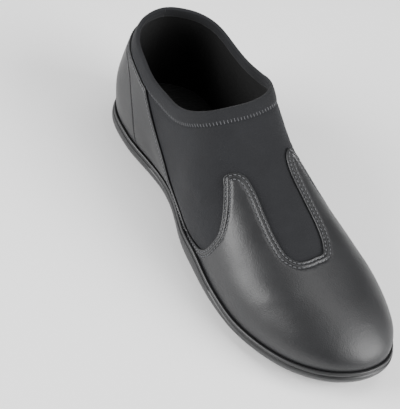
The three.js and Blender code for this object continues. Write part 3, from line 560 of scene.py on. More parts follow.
def collar_line():
    """The collar's edge from the heel forward on the lateral side, over the instep and back"""
    front = np.linspace(-COLLAR_TURN, COLLAR_TURN, FRONT_STEPS)
    near, far = (np.full(FRONT_STEPS, rib) for rib in COLLAR_FRONT_RIBS)
    instep = halved(lambda rib: above_collar(rib, front), near, far)
    sides = []
    for side, end in ((-1, instep[0]), (1, instep[-1])):
        ribs = np.linspace(0, end, SIDE_STEPS + 1)[:-1]
        near, far = np.full(SIDE_STEPS, COLLAR_TURN), np.full(SIDE_STEPS, COLLAR_LOWEST)
        shares = halved(lambda share: above_collar(ribs, side * share), near, far)
        sides.append(np.stack([ribs, side * shares], 1))
    line = np.vstack([sides[0], np.stack([instep, front], 1), sides[1][::-1]])
    line = even(line, EDGE_PITCH)
    for _ in range(COLLAR_SMOOTHINGS):
        line[1:-1] = (line[:-2] + 2 * line[1:-1] + line[2:]) / 4
    heel = (abs(line[0, 1]) + abs(line[-1, 1])) / 2
    line[0] = (0, -heel)
    line[-1] = (0, heel)
    return line


COLLAR_EDGE = collar_line()
BAND_EDGE = inward(COLLAR_EDGE, BAND_WIDTH, -1)
REAR_RIBS = 4.2  # from the heel as far as here the leather's edge keeps below the band
BAND_CLEARANCE = 0.004
FIRST_RIB = 0.02


def leather_edge():
    """The leather's whole cut edge from heel to heel, kept below the collar's band"""
    line = drawn(LEATHER_EDGE, len(LEATHER_EDGE["rib"]) * 6)
    line = line[line[:, 0] > FIRST_RIB]
    for side in (-1, 1):
        band = BAND_EDGE[(BAND_EDGE[:, 1] * side > 0) & (BAND_EDGE[:, 0] < REAR_RIBS)]
        band = band[np.argsort(band[:, 0])]
        rear = (line[:, 1] * side > 0) & (line[:, 0] < REAR_RIBS)
        below = np.interp(line[rear, 0], band[:, 0], np.abs(band[:, 1])) + BAND_CLEARANCE
        line[rear, 1] = side * np.maximum(np.abs(line[rear, 1]), below)
    return np.vstack([[0, line[0, 1]], line, [0, line[-1, 1]]])


def leather_edges():
    """The edge split where the side seams reach it, and those seams from it downwards"""
    edge = leather_edge()
    seam_l, seam_m = drawn(LATERAL_SEAM), drawn(MEDIAL_SEAM)
    seam_step_l, step_l, end_l = crossing(seam_l, edge)
    seam_step_m, step_m, end_m = crossing(seam_m, edge)
    return {
        "lateral": np.vstack([edge[: step_l + 1], end_l]),
        "vamp": np.vstack([end_l, edge[step_l + 1 : step_m + 1], end_m]),
        "medial": np.vstack([edge[: step_m : -1], end_m]),
        "seam_l": np.vstack([end_l, seam_l[seam_step_l + 1 :]]),
        "seam_m": np.vstack([end_m, seam_m[seam_step_m + 1 :]]),
    }


def down_to(line, limit):
    """The part of a downward line that ends at a share"""
    sign = np.sign(line[-1, 1])
    keep = line[np.abs(line[:, 1]) < limit]
    rib = np.interp(limit, np.abs(line[:, 1]), line[:, 0])
    return np.vstack([keep, [rib, sign * limit]])


# Flat pieces cut in the chart and laid over the last


def straight(start, end, pitch):
    gap = np.hypot((end[0] - start[0]) * CHART_RIB, (end[1] - start[1]) * CHART_AROUND)
    count = max(2, int(round(gap / pitch)) + 1)
    return np.linspace(start, end, count)


def joined(*lines):
    """Lines end to end as one closed outline, without doubled points"""
    points = np.vstack(lines)
    step = np.linalg.norm(points - np.roll(points, 1, axis=0), axis=1)
    return points[step > SAME_PLACE]


def inside(points, outline):
    """Which points lie inside a closed outline"""
    result = np.zeros(len(points), bool)
    a, b = outline, np.roll(outline, -1, axis=0)
    for start in range(0, len(points), BATCH):
        part = points[start : start + BATCH]
        x, y = part[:, :1], part[:, 1:]
        spans = (a[None, :, 1] > y) != (b[None, :, 1] > y)
        rise = np.where(b[:, 1] == a[:, 1], 1, b[:, 1] - a[:, 1])[None]
        at = (b[None, :, 0] - a[None, :, 0]) * (y - a[None, :, 1]) / rise + a[None, :, 0]
        result[start : start + BATCH] = ((spans & (x < at)).sum(1) % 2) == 1
    return result


def gap_to(points, line):
    """Distance from points to the nearest point of a line, both in space, and that point's place in it"""
    best = np.full(len(points), np.inf)
    place = np.zeros(len(points), int)
    for start in range(0, len(points), BATCH):
        part = points[start : start + BATCH]
        square = (part**2).sum(1)[:, None] + (line**2).sum(1)[None] - 2 * part @ line.T
        place[start : start + BATCH] = square.argmin(1)
        best[start : start + BATCH] = np.sqrt(np.maximum(square.min(1), 0))
    return best, place


def field(pitch, limit):
    """Places spread evenly over the whole last"""
    ribs = np.linspace(0, HALF_RING, FIELD_STEPS)
    rows = np.arange(-limit, limit, pitch / CHART_AROUND)
    places = []
    for n, around in enumerate(rows):
        line = np.stack([ribs, np.full(len(ribs), around)], 1)
        points = on_last(line[:, 0], line[:, 1])
        run = np.concatenate([[0], np.cumsum(np.linalg.norm(np.diff(points, axis=0), axis=1))])
        at = np.arange(pitch * (0.5 + 0.5 * (n % 2)), run[-1] - pitch * 0.4, pitch)
        places.append(np.stack([np.interp(at, run, ribs), np.full(len(at), around)], 1))
    return np.vstack(places)


def cut_flat(outline, extra, scale, nearest):
    """Triangles that fill an outline through extra points inside it, and the points that they use"""
    points = np.vstack([outline, extra]) * scale
    count = len(outline)
    edges = [(n, (n + 1) % count) for n in range(count)]
    verts, _, faces, *_ = delaunay_2d_cdt([Vector(p) for p in points], edges, [], 0, nearest)
    flat = np.array([tuple(v) for v in verts]) / scale
    triangles = np.array(faces)
    triangles = triangles[inside(flat[triangles].mean(axis=1), outline)]
    a, b, c = (flat[triangles[:, n]] for n in range(3))
    turned = (b[:, 0] - a[:, 0]) * (c[:, 1] - a[:, 1]) < (b[:, 1] - a[:, 1]) * (c[:, 0] - a[:, 0])
    triangles[turned] = triangles[turned][:, ::-1]
    used, triangles = np.unique(triangles, return_inverse=True)
    return flat[used], triangles.reshape(-1, 3)


def panel(outline, line, side, rows, pitch, limit):
    """A panel's flat mesh: its outline, rows of points inside its cut edge and a field between them"""
    extra = []
    edge = on_last(line[:, 0], line[:, 1])
    for distance in rows:
        row = inward(line, distance, side)
        clear = gap_to(on_last(row[:, 0], row[:, 1]), edge)[0] > distance * ROW_CLEARANCE
        extra.append(row[clear & inside(row, outline)])
    fill = field(pitch, limit)
    fill = fill[inside(fill, outline)]
    clear = gap_to(on_last(fill[:, 0], fill[:, 1]), edge)[0] > rows[-1] + FIELD_CLEARANCE * pitch
    fill = fill[clear]
    flat = fill * (CHART_RIB, CHART_AROUND)
    border = outline * (CHART_RIB, CHART_AROUND)
    fill = fill[gap_to(flat, border)[0] > BORDER_CLEARANCE * pitch]
    return cut_flat(outline, np.vstack([*extra, fill]), (CHART_RIB, CHART_AROUND), CHART_NEAR)


def weld(points):
    """One number for all points at the same place"""
    _, first, same = np.unique(np.round(points, 3), axis=0, return_index=True, return_inverse=True)
    return first, same.reshape(-1)


def rim_of(triangles):
    """Edges that only one triangle has, in its direction"""
    edges = np.vstack([triangles[:, [0, 1]], triangles[:, [1, 2]], triangles[:, [2, 0]]])
    key = np.sort(edges, axis=1)
    _, index, count = np.unique(key, axis=0, return_index=True, return_counts=True)
    return edges[index[count == 1]]


def without_slivers(faces):
    kept = []
    for face in faces:
        corners = list(dict.fromkeys(face))
        if len(corners) >= 3:
            kept.append(corners)
    return kept


def mesh_piece(name, points, faces, smooth_angle=None):
    """An object from points in the last's millimetres, set down in the frame"""
    mesh = bpy.data.meshes.new(name)
    placed = (np.asarray(points) - np.append(SHOE_MIDDLE, 0)) * MM
    mesh.from_pydata(placed.tolist(), [], without_slivers(faces))
    mesh.validate()
    piece = bpy.data.objects.new(name, mesh)
    bpy.context.scene.collection.objects.link(piece)
    bpy.ops.object.select_all(action="DESELECT")
    piece.select_set(True)
    bpy.context.view_layer.objects.active = piece
    if smooth_angle is None:
        bpy.ops.object.shade_smooth()
    else:
        bpy.ops.object.shade_smooth_by_angle(angle=math.radians(smooth_angle))
    piece.select_set(False)
    return piece


def write_flat_map(piece, chart):
    """A UV map of the panel's flat places in metres"""
    mesh = piece.data
    layer = mesh.uv_layers.new(name="flat")
    flat = np.asarray(chart) * (CHART_RIB, CHART_AROUND) * MM
    corner = np.zeros(len(mesh.loops), int)
    mesh.loops.foreach_get("vertex_index", corner)
    layer.data.foreach_set("uv", flat[corner].ravel())


def shell(name, chart, triangles, outer, inner):
    """A closed shell between two distances off the last, joined where the panel meets itself"""
    first, same = weld(on_last(chart[:, 0], chart[:, 1]))
    triangles = same[triangles]
    chart = chart[first]
    outer_points = on_last(chart[:, 0], chart[:, 1], outer[first])
    inner_points = on_last(chart[:, 0], chart[:, 1], inner[first])
    count = len(chart)
    faces = [tuple(t) for t in triangles.tolist()]
    faces += [(a + count, c + count, b + count) for a, b, c in triangles.tolist()]
    faces += [(b, a, a + count, b + count) for a, b in rim_of(triangles).tolist()]
    piece = mesh_piece(name, np.vstack([outer_points, inner_points]), faces)
    write_flat_map(piece, np.vstack([chart, chart]))
    return piece


# Distances from a cut edge or a seam where the leather changes height, and how it does
LEATHER_ROWS = (0.12, 0.3, 0.55, 0.9, 1.2, 1.5, 1.8, 2.2, 2.75, 3.3, 3.7, 4.0, 4.3, 4.8)
ONE_STITCH_ROWS = LEATHER_ROWS[:9]
SEAM_ROWS = (0.15, 0.35, 0.7, 1.2)
FIRST_STITCH = 1.5
SECOND_STITCH = 4.0
EDGE_ROUND, EDGE_DROP = 0.55, 0.75
SEAM_ROUND, SEAM_DROP = 0.6, 0.7
STITCH_DENT_WIDTH, STITCH_DENT = 0.45, 0.5
PILLOW_WIDTH, PILLOW_HEIGHT = 0.7, 0.2
LEATHER_INNER = GAP * 0.3


def rounded(distance, radius, depth):
    """How far a cut edge falls away within a radius of it"""
    share = np.clip(distance / radius, 0, 1)
    return depth * (1 - np.sqrt(1 - (1 - share) ** 2))


def dent(distance, at, width, depth):
    return depth * np.exp(-(((distance - at) / width) ** 2))


def leather_height(edge_gap, seam_gap, second_row):
    """Outer face of the leather: rounded edges and seams, and stitch grooves with a pillow between"""
    height = np.full(len(edge_gap), float(LEATHER_FACE))
    height -= rounded(edge_gap, EDGE_ROUND, EDGE_DROP)
    height -= rounded(seam_gap, SEAM_ROUND, SEAM_DROP)
    height -= dent(edge_gap, FIRST_STITCH, STITCH_DENT_WIDTH, STITCH_DENT)
    if second_row:
        height -= dent(edge_gap, SECOND_STITCH, STITCH_DENT_WIDTH, STITCH_DENT)
        height += dent(edge_gap, (FIRST_STITCH + SECOND_STITCH) / 2, PILLOW_WIDTH, PILLOW_HEIGHT)
    return height


def gap_to_lines(places, lines):
    """Distance from places in space to the nearest of some lines on the last"""
    if not lines:
        return np.full(len(places), np.inf)
    dense = [even(line, FINE_PITCH) for line in lines]
    return gap_to(places, np.vstack([on_last(line[:, 0], line[:, 1]) for line in dense]))[0]


def leather_panel(outline, edges, seams, side, rows):
    """A leather panel's flat mesh and outer height. Its rows run inside its cut edge, or else its seam"""
    line = (edges or seams)[0]
    chart, triangles = panel(outline, line, side, rows, LEATHER_PITCH, UNDER_LEATHER)
    places = on_last(chart[:, 0], chart[:, 1])
    second_row = rows is LEATHER_ROWS
    height = leather_height(gap_to_lines(places, edges), gap_to_lines(places, seams), second_row)
    return chart, triangles, height


def leather_shell(name, *panels):
    """Leather panels as one shell, joined where they meet"""
    charts, faces, outers, count = [], [], [], 0
    for chart, triangles, outer in panels:
        charts.append(chart)
        faces.append(triangles + count)
        outers.append(outer)
        count += len(chart)
    outer = np.concatenate(outers)
    return shell(name, np.vstack(charts), np.vstack(faces), outer, np.full(count, LEATHER_INNER))


EDGES = leather_edges()
SEAM_SHIFT = GAP / 2 / (LAST_LENGTH / 10)  # half a gap, in ribs


def vamp_outline():
    edge = even(EDGES["vamp"], EDGE_PITCH)
    seam_l = even(down_to(EDGES["seam_l"], UNDER_LEATHER) + (SEAM_SHIFT, 0), EDGE_PITCH)
    seam_m = even(down_to(EDGES["seam_m"], UNDER_LEATHER) + (SEAM_SHIFT, 0), EDGE_PITCH)
    toe_l, toe_m = (HALF_RING, -UNDER_LEATHER), (HALF_RING, UNDER_LEATHER)
    toe = straight(toe_m, toe_l, EDGE_PITCH)
    bottom_m = straight(seam_m[-1], toe_m, BOTTOM_PITCH)
    bottom_l = straight(toe_l, seam_l[-1], BOTTOM_PITCH)
    outline = joined(edge, seam_m, bottom_m, toe, bottom_l, seam_l[::-1])
    return outline, edge, [seam_l, seam_m]


def make_vamp():
    outline, edge, seams = vamp_outline()
    piece = leather_shell("vamp_leather", leather_panel(outline, [edge], seams, -1, LEATHER_ROWS))
    even_out(piece, on_last(HALF_RING, 0.0, LEATHER_FACE), TOE_TOP_REACH)
    return piece


# How far from the top of the toe the mesh is evened out, and how often
TOE_TOP_REACH = 12
TOE_TOP_ROUNDS = 3
SETTLED_SHARE = 0.8
SETTLING = 0.5


def even_out(piece, centre, radius):
    """Turn the edges near a point, and settle its points, where the sections come together"""
    middle = Vector((centre - np.append(SHOE_MIDDLE, 0)) * MM)
    reach_out = radius * MM
    mesh = bmesh.new()
    mesh.from_mesh(piece.data)
    for _ in range(TOE_TOP_ROUNDS):
        upper = (face for face in mesh.faces if face.normal.z > 0)
        faces = [face for face in upper if (face.calc_center_median() - middle).length < reach_out]
        edges = {edge for face in faces for edge in face.edges if all(f in faces for f in edge.link_faces)}
        bmesh.ops.beautify_fill(mesh, faces=faces, edges=list(edges), method="ANGLE")
        upper = (vert for vert in mesh.verts if vert.normal.z > 0)
        verts = [vert for vert in upper if (vert.co - middle).length < reach_out * SETTLED_SHARE]
        all_ways = {"use_axis_x": True, "use_axis_y": True, "use_axis_z": True}
        bmesh.ops.smooth_vert(mesh, verts=verts, factor=SETTLING, **all_ways)
    mesh.to_mesh(piece.data)
    mesh.free()


def counter_seam(side, shift):
    """The seam between quarter and counter, moved half a gap to the quarter's (1) or counter's (-1) side"""
    seam = drawn(COUNTER_SEAM) * (1, side)
    seam = seam[seam[:, 0] > FIRST_RIB]
    seam = np.vstack([[0, seam[0, 1]], seam])
    seam = down_to(seam, UNDER_LEATHER)
    seam[1:, 0] += shift * SEAM_SHIFT
    return even(seam - (0, side * shift * GAP / 2 / CHART_AROUND), EDGE_PITCH)


def half_quarter(side):
    """The quarter on one side of the heel"""
    edge = even(EDGES["lateral" if side < 0 else "medial"], EDGE_PITCH)
    front = down_to(EDGES["seam_l" if side < 0 else "seam_m"], UNDER_LEATHER) - (SEAM_SHIFT, 0)
    front = even(front, EDGE_PITCH)
    counter = counter_seam(side, 1)
    heel = straight(counter[0], edge[0], EDGE_PITCH)
    bottom = straight(front[-1], counter[-1], BOTTOM_PITCH)
    outline = joined(edge, front, bottom, counter[::-1], heel)
    return leather_panel(outline, [edge], [front, counter], side, ONE_STITCH_ROWS)


def make_quarter():
    return leather_shell("quarter_leather", half_quarter(-1), half_quarter(1))


def half_counter(side):
    """The counter on one side of the heel, which has no cut edge above its seam"""
    seam = counter_seam(side, -1)
    heel = straight((0, side * UNDER_LEATHER), seam[0], EDGE_PITCH)
    bottom = straight(seam[-1], (0, side * UNDER_LEATHER), BOTTOM_PITCH)
    return leather_panel(joined(seam, bottom, heel), [], [seam], side, SEAM_ROWS)


def make_counter():
    return leather_shell("counter_leather", half_counter(-1), half_counter(1))


# The stretch bootie: a wall with a rolled rim and a band along the collar
COLLAR_ROWS = (0.15, 0.4, 0.8, 1.35, 2.2, 3.2, 4.4, 5.6, 6.6, 7.2, 7.6, 8.0, 8.4, 8.9, 9.6, 10.6)
RIM_RADIUS = (WALL + BAND_STEP) / 2
BAND_FADE = 0.9
BAND_SWELL = 0.35
OVERLOCK_AT = 7.4
OVERLOCK_DENT_AT, OVERLOCK_DENT_WIDTH, OVERLOCK_DENT = 2.2, 0.6, 0.35
INNER_BAND = 7.0
INNER_BAND_STEP, INNER_BAND_FADE = 0.45, 0.5
# How far below the turned-in band the lining's painted shade fades in
LINING_SHADE_FADE = 0.3
STRETCH_BOTTOM_PITCH = 2.5


def bootie_height(gap):
    """Outer and inner face of the bootie at distances from its collar's edge"""
    round_off = rounded(gap, RIM_RADIUS, RIM_RADIUS)
    band = BAND_STEP * np.clip((BAND_WIDTH + BAND_FADE - gap) / BAND_FADE, 0, 1)
    swell = BAND_SWELL * np.sin(np.pi * np.clip(gap / BAND_WIDTH, 0, 1))
    groove = dent(gap, OVERLOCK_AT + OVERLOCK_DENT_AT, OVERLOCK_DENT_WIDTH, OVERLOCK_DENT)
    outer = band + swell - round_off - groove
    turned_in = INNER_BAND_STEP * np.clip((INNER_BAND - gap) / INNER_BAND_FADE, 0, 1)
    inner = -WALL + INNER_BAND_STEP - turned_in + np.where(gap < RIM_RADIUS, round_off, 0)
    return outer, np.minimum(inner, outer)


def make_bootie():
    collar = COLLAR_EDGE
    heel_l = straight((0, -UNDER_STRETCH), collar[0], STRETCH_PITCH)
    toe = straight((HALF_RING, UNDER_STRETCH), (HALF_RING, -UNDER_STRETCH), STRETCH_PITCH)
    heel_m = straight(collar[-1], (0, UNDER_STRETCH), STRETCH_PITCH)
    bottom_m = straight((0, UNDER_STRETCH), (HALF_RING, UNDER_STRETCH), STRETCH_BOTTOM_PITCH)
    bottom_l = straight((HALF_RING, -UNDER_STRETCH), (0, -UNDER_STRETCH), STRETCH_BOTTOM_PITCH)
    outline = joined(collar, heel_m, bottom_m, toe, bottom_l, heel_l)
    chart, triangles = panel(outline, collar, -1, COLLAR_ROWS, STRETCH_PITCH, UNDER_STRETCH)
    gap = gap_to_lines(on_last(chart[:, 0], chart[:, 1]), [collar])
    outer, inner = bootie_height(gap)
    piece = shell("stretch_bootie", chart, triangles, outer, inner)
    # The inner face is masked for the lining's painted shade
    mark_lining_shade(piece)
    return piece


def mark_lining_shade(piece):
    """A mask of the lining and its painted shade: the inner face below the turned-in band, which the
    stretch material paints almost black as shade inside the shoe
    """
    places = np.array([tuple(v.co) for v in piece.data.vertices]) / MM + np.append(SHOE_MIDDLE, 0)
    gap = gap_to_lines(places, [COLLAR_EDGE])
    inner = np.arange(len(places)) >= len(places) // 2
    mask = np.where(inner, np.clip((gap - INNER_BAND) / LINING_SHADE_FADE, 0, 1), 0)
    layer = piece.data.attributes.new("lining_shade", "FLOAT", "POINT")
    layer.data.foreach_set("value", mask)


# Stitches: their pitch, the share of it that the thread fills, its height off the last and its radius
VAMP_STITCH = {"pitch": 2.6, "share": 0.64, "off": LEATHER_FACE - 0.28, "radius": 0.42}
QUARTER_STITCH = {"pitch": 2.2, "share": 0.62, "off": LEATHER_FACE - 0.12, "radius": 0.46}
COUNTER_STITCH = {"pitch": 1.8, "share": 0.6, "off": LEATHER_FACE - 0.45, "radius": 0.2}
OVERLOCK_STITCH = {"pitch": 2.0, "above": 1.3, "below": 2.0, "off": 0.05, "radius": 0.3}
OVERLOCK_PITCH = 0.3  # between the points of the two lines that the overlock runs between
OVERLOCK_SLANT = 0.45
OVERLOCK_END = 0.004
STITCH_ARCH = 0.5
OVERLOCK_ARCH = 0.4
STITCH_SIDES = 6

# A thread bump's sections: place along it, girth, and lift by its arch
STITCH_STATIONS = (
    (-0.5, 0.35, -1.1),
    (-0.36, 0.9, -0.2),
    (0, 1, 0.25),
    (0.36, 0.9, -0.2),
    (0.5, 0.35, -1.1),
)


def stitch_form(radius, rise):
    """One thread bump of unit length: a six-sided capsule whose ends dive into the cloth"""
    points, faces = [], []
    for at, girth, lift in STITCH_STATIONS:
        for k in range(STITCH_SIDES):
            angle = math.radians(360 / STITCH_SIDES * k)
            y = radius * girth * math.cos(angle)
            z = radius * girth * math.sin(angle) + rise * lift
            points.append((at, y, z))
    for n in range(len(STITCH_STATIONS) - 1):
        for k in range(STITCH_SIDES):
            a, b = n * STITCH_SIDES + k, n * STITCH_SIDES + (k + 1) % STITCH_SIDES
            faces.append((a, a + STITCH_SIDES, b + STITCH_SIDES, b))
    last = len(points) - 1
    faces.append(tuple(range(STITCH_SIDES)))
    faces.append(tuple(range(last, last - STITCH_SIDES, -1)))
    return np.array(points), faces


def sew(name, starts, ends, start_off, end_off, radius, rise):
    """A thread bump from each start to its end, joined in one mesh"""
    start = on_last(starts[:, 0], starts[:, 1], np.full(len(starts), start_off))
    end = on_last(ends[:, 0], ends[:, 1], np.full(len(ends), end_off))
    middle = (starts + ends) / 2
    normal = normal_at(middle[:, 0], middle[:, 1])
    along = end - start
    length = np.linalg.norm(along, axis=1)
    along /= length[:, None]
    across = np.cross(normal, along)
    across /= np.linalg.norm(across, axis=1)[:, None]
    upward = np.cross(along, across)
    form, form_faces = stitch_form(radius, rise)
    points, faces = [], []
    for n in range(len(start)):
        shape = form * (length[n], 1, 1)
        base = len(points) * len(form)
        points.append((start[n] + end[n]) / 2 + shape @ np.stack([along[n], across[n], upward[n]]))
        faces += [tuple(k + base for k in face) for face in form_faces]
    return mesh_piece(name, np.vstack(points), faces)


def row_of_stitches(name, line, side, distance, stitch):
    """A straight row of stitches at a distance inside an edge"""
    row = even(inward(line, distance, side), stitch["pitch"])
    row = row[1:-1]
    ends = row[:-1] + np.diff(row, axis=0) * stitch["share"]
    radius = stitch["radius"]
    return sew(name, row[:-1], ends, stitch["off"], stitch["off"], radius, radius * STITCH_ARCH)


def places_at(line, shares):
    """Places at shares of a line's own points"""
    steps = np.linspace(0, 1, len(line))
    return np.stack([np.interp(shares, steps, line[:, k]) for k in (0, 1)], 1)


def make_overlock():
    """Slanting stitches over the lower edge of the collar's band"""
    stitch = OVERLOCK_STITCH
    upper = even(inward(COLLAR_EDGE, OVERLOCK_AT - stitch["above"], -1), OVERLOCK_PITCH)
    lower = even(inward(COLLAR_EDGE, OVERLOCK_AT + stitch["below"], -1), OVERLOCK_PITCH)
    count = int(len(upper) * OVERLOCK_PITCH / stitch["pitch"])
    at = np.linspace(OVERLOCK_END, 1 - OVERLOCK_END, count)
    starts = places_at(upper, at)
    ends = places_at(lower, np.clip(at + OVERLOCK_SLANT / count, 0, 1))
    radius = stitch["radius"]
    return sew("collar_overlock", starts, ends, BAND_STEP, stitch["off"], radius, radius * OVERLOCK_ARCH)


def make_stitches():
    vamp_edge = even(EDGES["vamp"], EDGE_PITCH)
    pieces = [
        row_of_stitches("vamp_stitches_outer", vamp_edge, -1, FIRST_STITCH, VAMP_STITCH),
        row_of_stitches("vamp_stitches_inner", vamp_edge, -1, SECOND_STITCH, VAMP_STITCH),
    ]
    for side, word in ((-1, "lateral"), (1, "medial")):
        edge = even(EDGES[word], EDGE_PITCH)
        pieces.append(row_of_stitches(f"quarter_stitches_{word}", edge, side, FIRST_STITCH, QUARTER_STITCH))
        seam = counter_seam(side, 1)
        pieces.append(row_of_stitches(f"counter_stitches_{word}", seam, side, 0.0, COUNTER_STITCH))
    return pieces


# The sole


def ring_columns(per_rib):
    return np.arange(0, RING * GRID_PER_RIB, GRID_PER_RIB // per_rib)


def from_foot(s, r, z):
    """Points at distances ahead of the sections' feet, and at heights"""
    return np.column_stack([s["foot"] + r[:, None] * s["ahead"], z])


def ahead_of_foot(s, points):
    return ((points[:, :2] - s["foot"]) * s["ahead"]).sum(1)


def ring_faces(columns, rows):
    """Four-sided faces over a ring of columns"""
    faces = []
    for n in range(columns):
        here, there = n * rows, ((n + 1) % columns) * rows
        for m in range(rows - 1):
            faces.append((here + m, there + m, there + m + 1, here + m + 1))
    return faces


def welded_piece(name, points, faces, smooth_angle=None):
    """A piece whose points at the same place are one"""
    first, same = weld(points)
    faces = [tuple(same[list(face)].tolist()) for face in faces]
    return mesh_piece(name, points[first], faces, smooth_angle)


SOLE_COLUMNS = ring_columns(8)
INSOLE_COLUMNS = ring_columns(4)
CLIMB_LIMIT = 0.6


def climb(columns, off, s, target):
    """The share up each section where its face, moved off by a distance, comes level with a height"""
    points = PLAIN_GRID[columns] + PLAIN_NORMALS[columns] * off
    rows = np.flatnonzero((GRID_SHARES >= -1e-9) & (GRID_SHARES < CLIMB_LIMIT))
    shares = np.zeros(len(columns))
    for n in range(len(columns)):
        radius = ((points[n, rows, :2] - s["foot"][n]) * s["ahead"][n]).sum(1)
        rise = points[n, rows, 2] - target(n, radius)
        above = np.flatnonzero(rise >= 0)[0]
        if above == 0:
            shares[n] = GRID_SHARES[rows[0]]
            continue
        part = -rise[above - 1] / (rise[above] - rise[above - 1])
        shares[n] = GRID_SHARES[rows[above - 1]] + part * SHARE_STEP
    return shares


def face_at(columns, share, off):
    """Points of sections at shares up them, off the plain last's face"""
    row = (share - SHARE_LOW) / SHARE_STEP
    m = np.minimum(row.astype(int), len(GRID_SHARES) - 2)
    u = (row - m)[:, None]
    point = PLAIN_GRID[columns, m] * (1 - u) + PLAIN_GRID[columns, m + 1] * u
    normal = PLAIN_NORMALS[columns, m] * (1 - u) + PLAIN_NORMALS[columns, m + 1] * u
    return point + normal / np.linalg.norm(normal, axis=1)[:, None] * off


# The sole's profile: points of its rolled side, of its bead by their angle, and down into the cup
TREAD_EDGE_LIFT = 0.12
STEP_LEAN = 0.05
STEP_FOOT = 0.3
SIDE_POINT = 0.6  # share of the way up the flat side at which it has a row
BEAD_FOOT = 0.15
BEAD_NECK = 1.85
BEAD_CENTRE = 0.65
ROLL_POINTS = 14
BEAD_ANGLES = (-55, -25, 5, 35, 60, 85, 110, 140)
BEAD_WIDTH = 0.45
CUP_POINTS = 9


def sole_profile():
    """Rows of the sole's ring: the tread's edge, the rolled side, the bead and down into the cup"""
    rings = GRID_RINGS[SOLE_COLUMNS]
    s = section(rings)
    foot_x, ahead_x = s["foot"][:, 0], s["ahead"][:, 0]
    wall_top = CUP_HEIGHT * ring_value(rings, all_round(RIBS["lip_l"], RIBS["lip_m"]))
    roll = SOLE_ROLL * ring_value(rings, all_round(RIBS["roll_l"], RIBS["roll_m"]))

    def top(n, radius):
        return tread_height(foot_x[n] + radius * ahead_x[n]) + wall_top[n]

    def at(r, z):
        return from_foot(s, r, z)

    share = climb(SOLE_COLUMNS, CUP_FACE, s, top)
    edge = face_at(SOLE_COLUMNS, share, CUP_FACE)
    edge_r = ahead_of_foot(s, edge)
    lip, lip_z = edge_r + LIP, edge[:, 2]
    side = lip + BULGE
    under = tread_height(foot_x + lip * ahead_x) + TREAD_STEP
    roll_top = under + (lip_z - under) * ROLL_SHARE
    tread = side - roll - TREAD_INSET
    tread_z = tread_height(foot_x + tread * ahead_x)
    rows = [
        at(tread - TREAD_STEP / 3, tread_z),
        at(tread - TREAD_STEP / 6, tread_z + TREAD_EDGE_LIFT),
        at(tread - STEP_LEAN, tread_z + TREAD_STEP * 0.75),
        at(tread + STEP_FOOT, tread_z + TREAD_STEP),
    ]
    for n in range(ROLL_POINTS):
        angle = math.radians(90 * (1 - n / (ROLL_POINTS - 1)))
        r = side - roll * (1 - math.cos(angle))
        rows.append(at(r, roll_top - (roll_top - under) * math.sin(angle)))
    rows.append(at(side - STEP_LEAN, roll_top + (lip_z - 2 * BEAD - roll_top) * SIDE_POINT))
    rows.append(at(lip + BULGE * 0.4, lip_z - 2 * BEAD - BEAD_FOOT))
    rows.append(at(lip - BEAD_GROOVE, lip_z - BEAD_NECK * BEAD))
    for degrees in BEAD_ANGLES:
        angle = math.radians(degrees)
        r = lip - LIP * BEAD_WIDTH + LIP * BEAD_WIDTH * math.cos(angle)
        rows.append(at(r, lip_z - BEAD * BEAD_CENTRE + BEAD * math.sin(angle)))
    for n in range(CUP_POINTS):
        rows.append(face_at(SOLE_COLUMNS, share * (1 - n / (CUP_POINTS - 1)), CUP_FACE))
    rows.append(at(edge_r * 0.5, bed_height(foot_x + edge_r * 0.5 * ahead_x)))
    rows.append(at(edge_r * 0, bed_height(foot_x)))
    return np.stack(rows, 1)


SOLE_ROWS = sole_profile()
# The middle of the sole's box in plan, which the frame has at its origin
SOLE_PLAN = SOLE_ROWS[:, :, :2].reshape(-1, 2)
SHOE_MIDDLE = (SOLE_PLAN.min(0) + SOLE_PLAN.max(0)) / 2


# Lines across the tread, and the pads between them
TREAD_LINE_STEPS = 60
FLEX_LINE = smooth_line(in_plan(FLEX_GROOVE), TREAD_LINE_STEPS)
HEEL_PAD_LINE = smooth_line(in_plan(HEEL_PAD_FRONT), TREAD_LINE_STEPS)
FOREFOOT_PAD_LINE = smooth_line(in_plan(FOREFOOT_PAD_BACK), TREAD_LINE_STEPS)
PAD_RECESS = 0.5
PAD_RIM = 1.6
PAD_SLOPE = 0.4
RIM_ROWS = (0.8, PAD_RIM, PAD_RIM + 0.4, PAD_RIM + 1.5)
STEP_ROWS = (PAD_RIM + 1.4, PAD_RIM + 1, PAD_RIM, 1.0, 0.6, 0.4)
TREAD_PITCH = 3.0
TREAD_CLEARANCE = 0.5
TREAD_HALF = 60
TREAD_PAST = 10
FINE_LINE_STEPS = 150
SOLE_SMOOTH_ANGLE = 38
PIP_SMOOTH_ANGLE = 20


def past(points, line):
    """How far in front of a line across the tread, in the shoe's length"""
    return points[:, 0] - np.interp(points[:, 1], line[:, 1], line[:, 0])


def bottom_rise(points, rim_gap):
    """How far each point of the tread lies above the plane that the shoe stands on"""
    to_heel_pad = past(points, HEEL_PAD_LINE)
    to_forefoot = past(points, FOREFOOT_PAD_LINE)
    to_groove = np.abs(past(points, FLEX_LINE)) - GROOVE_WIDTH / 2
    waist = np.clip(to_heel_pad / PAD_SLOPE, 0, 1) * np.clip(-to_forefoot / PAD_SLOPE, 0, 1)
    pad_gap = np.minimum(np.abs(to_heel_pad), np.abs(to_forefoot))
    line_gap = np.minimum(pad_gap, np.maximum(to_groove, 0))
    inner = np.clip((np.minimum(rim_gap, line_gap) - PAD_RIM) / PAD_SLOPE, 0, 1)
    groove = np.clip(-to_groove / PAD_SLOPE, 0, 1) * GROOVE_DEPTH
    pad = np.maximum(inner * PAD_RECESS, groove)
    return np.where(waist > 0, waist * WAIST_STEP, pad)


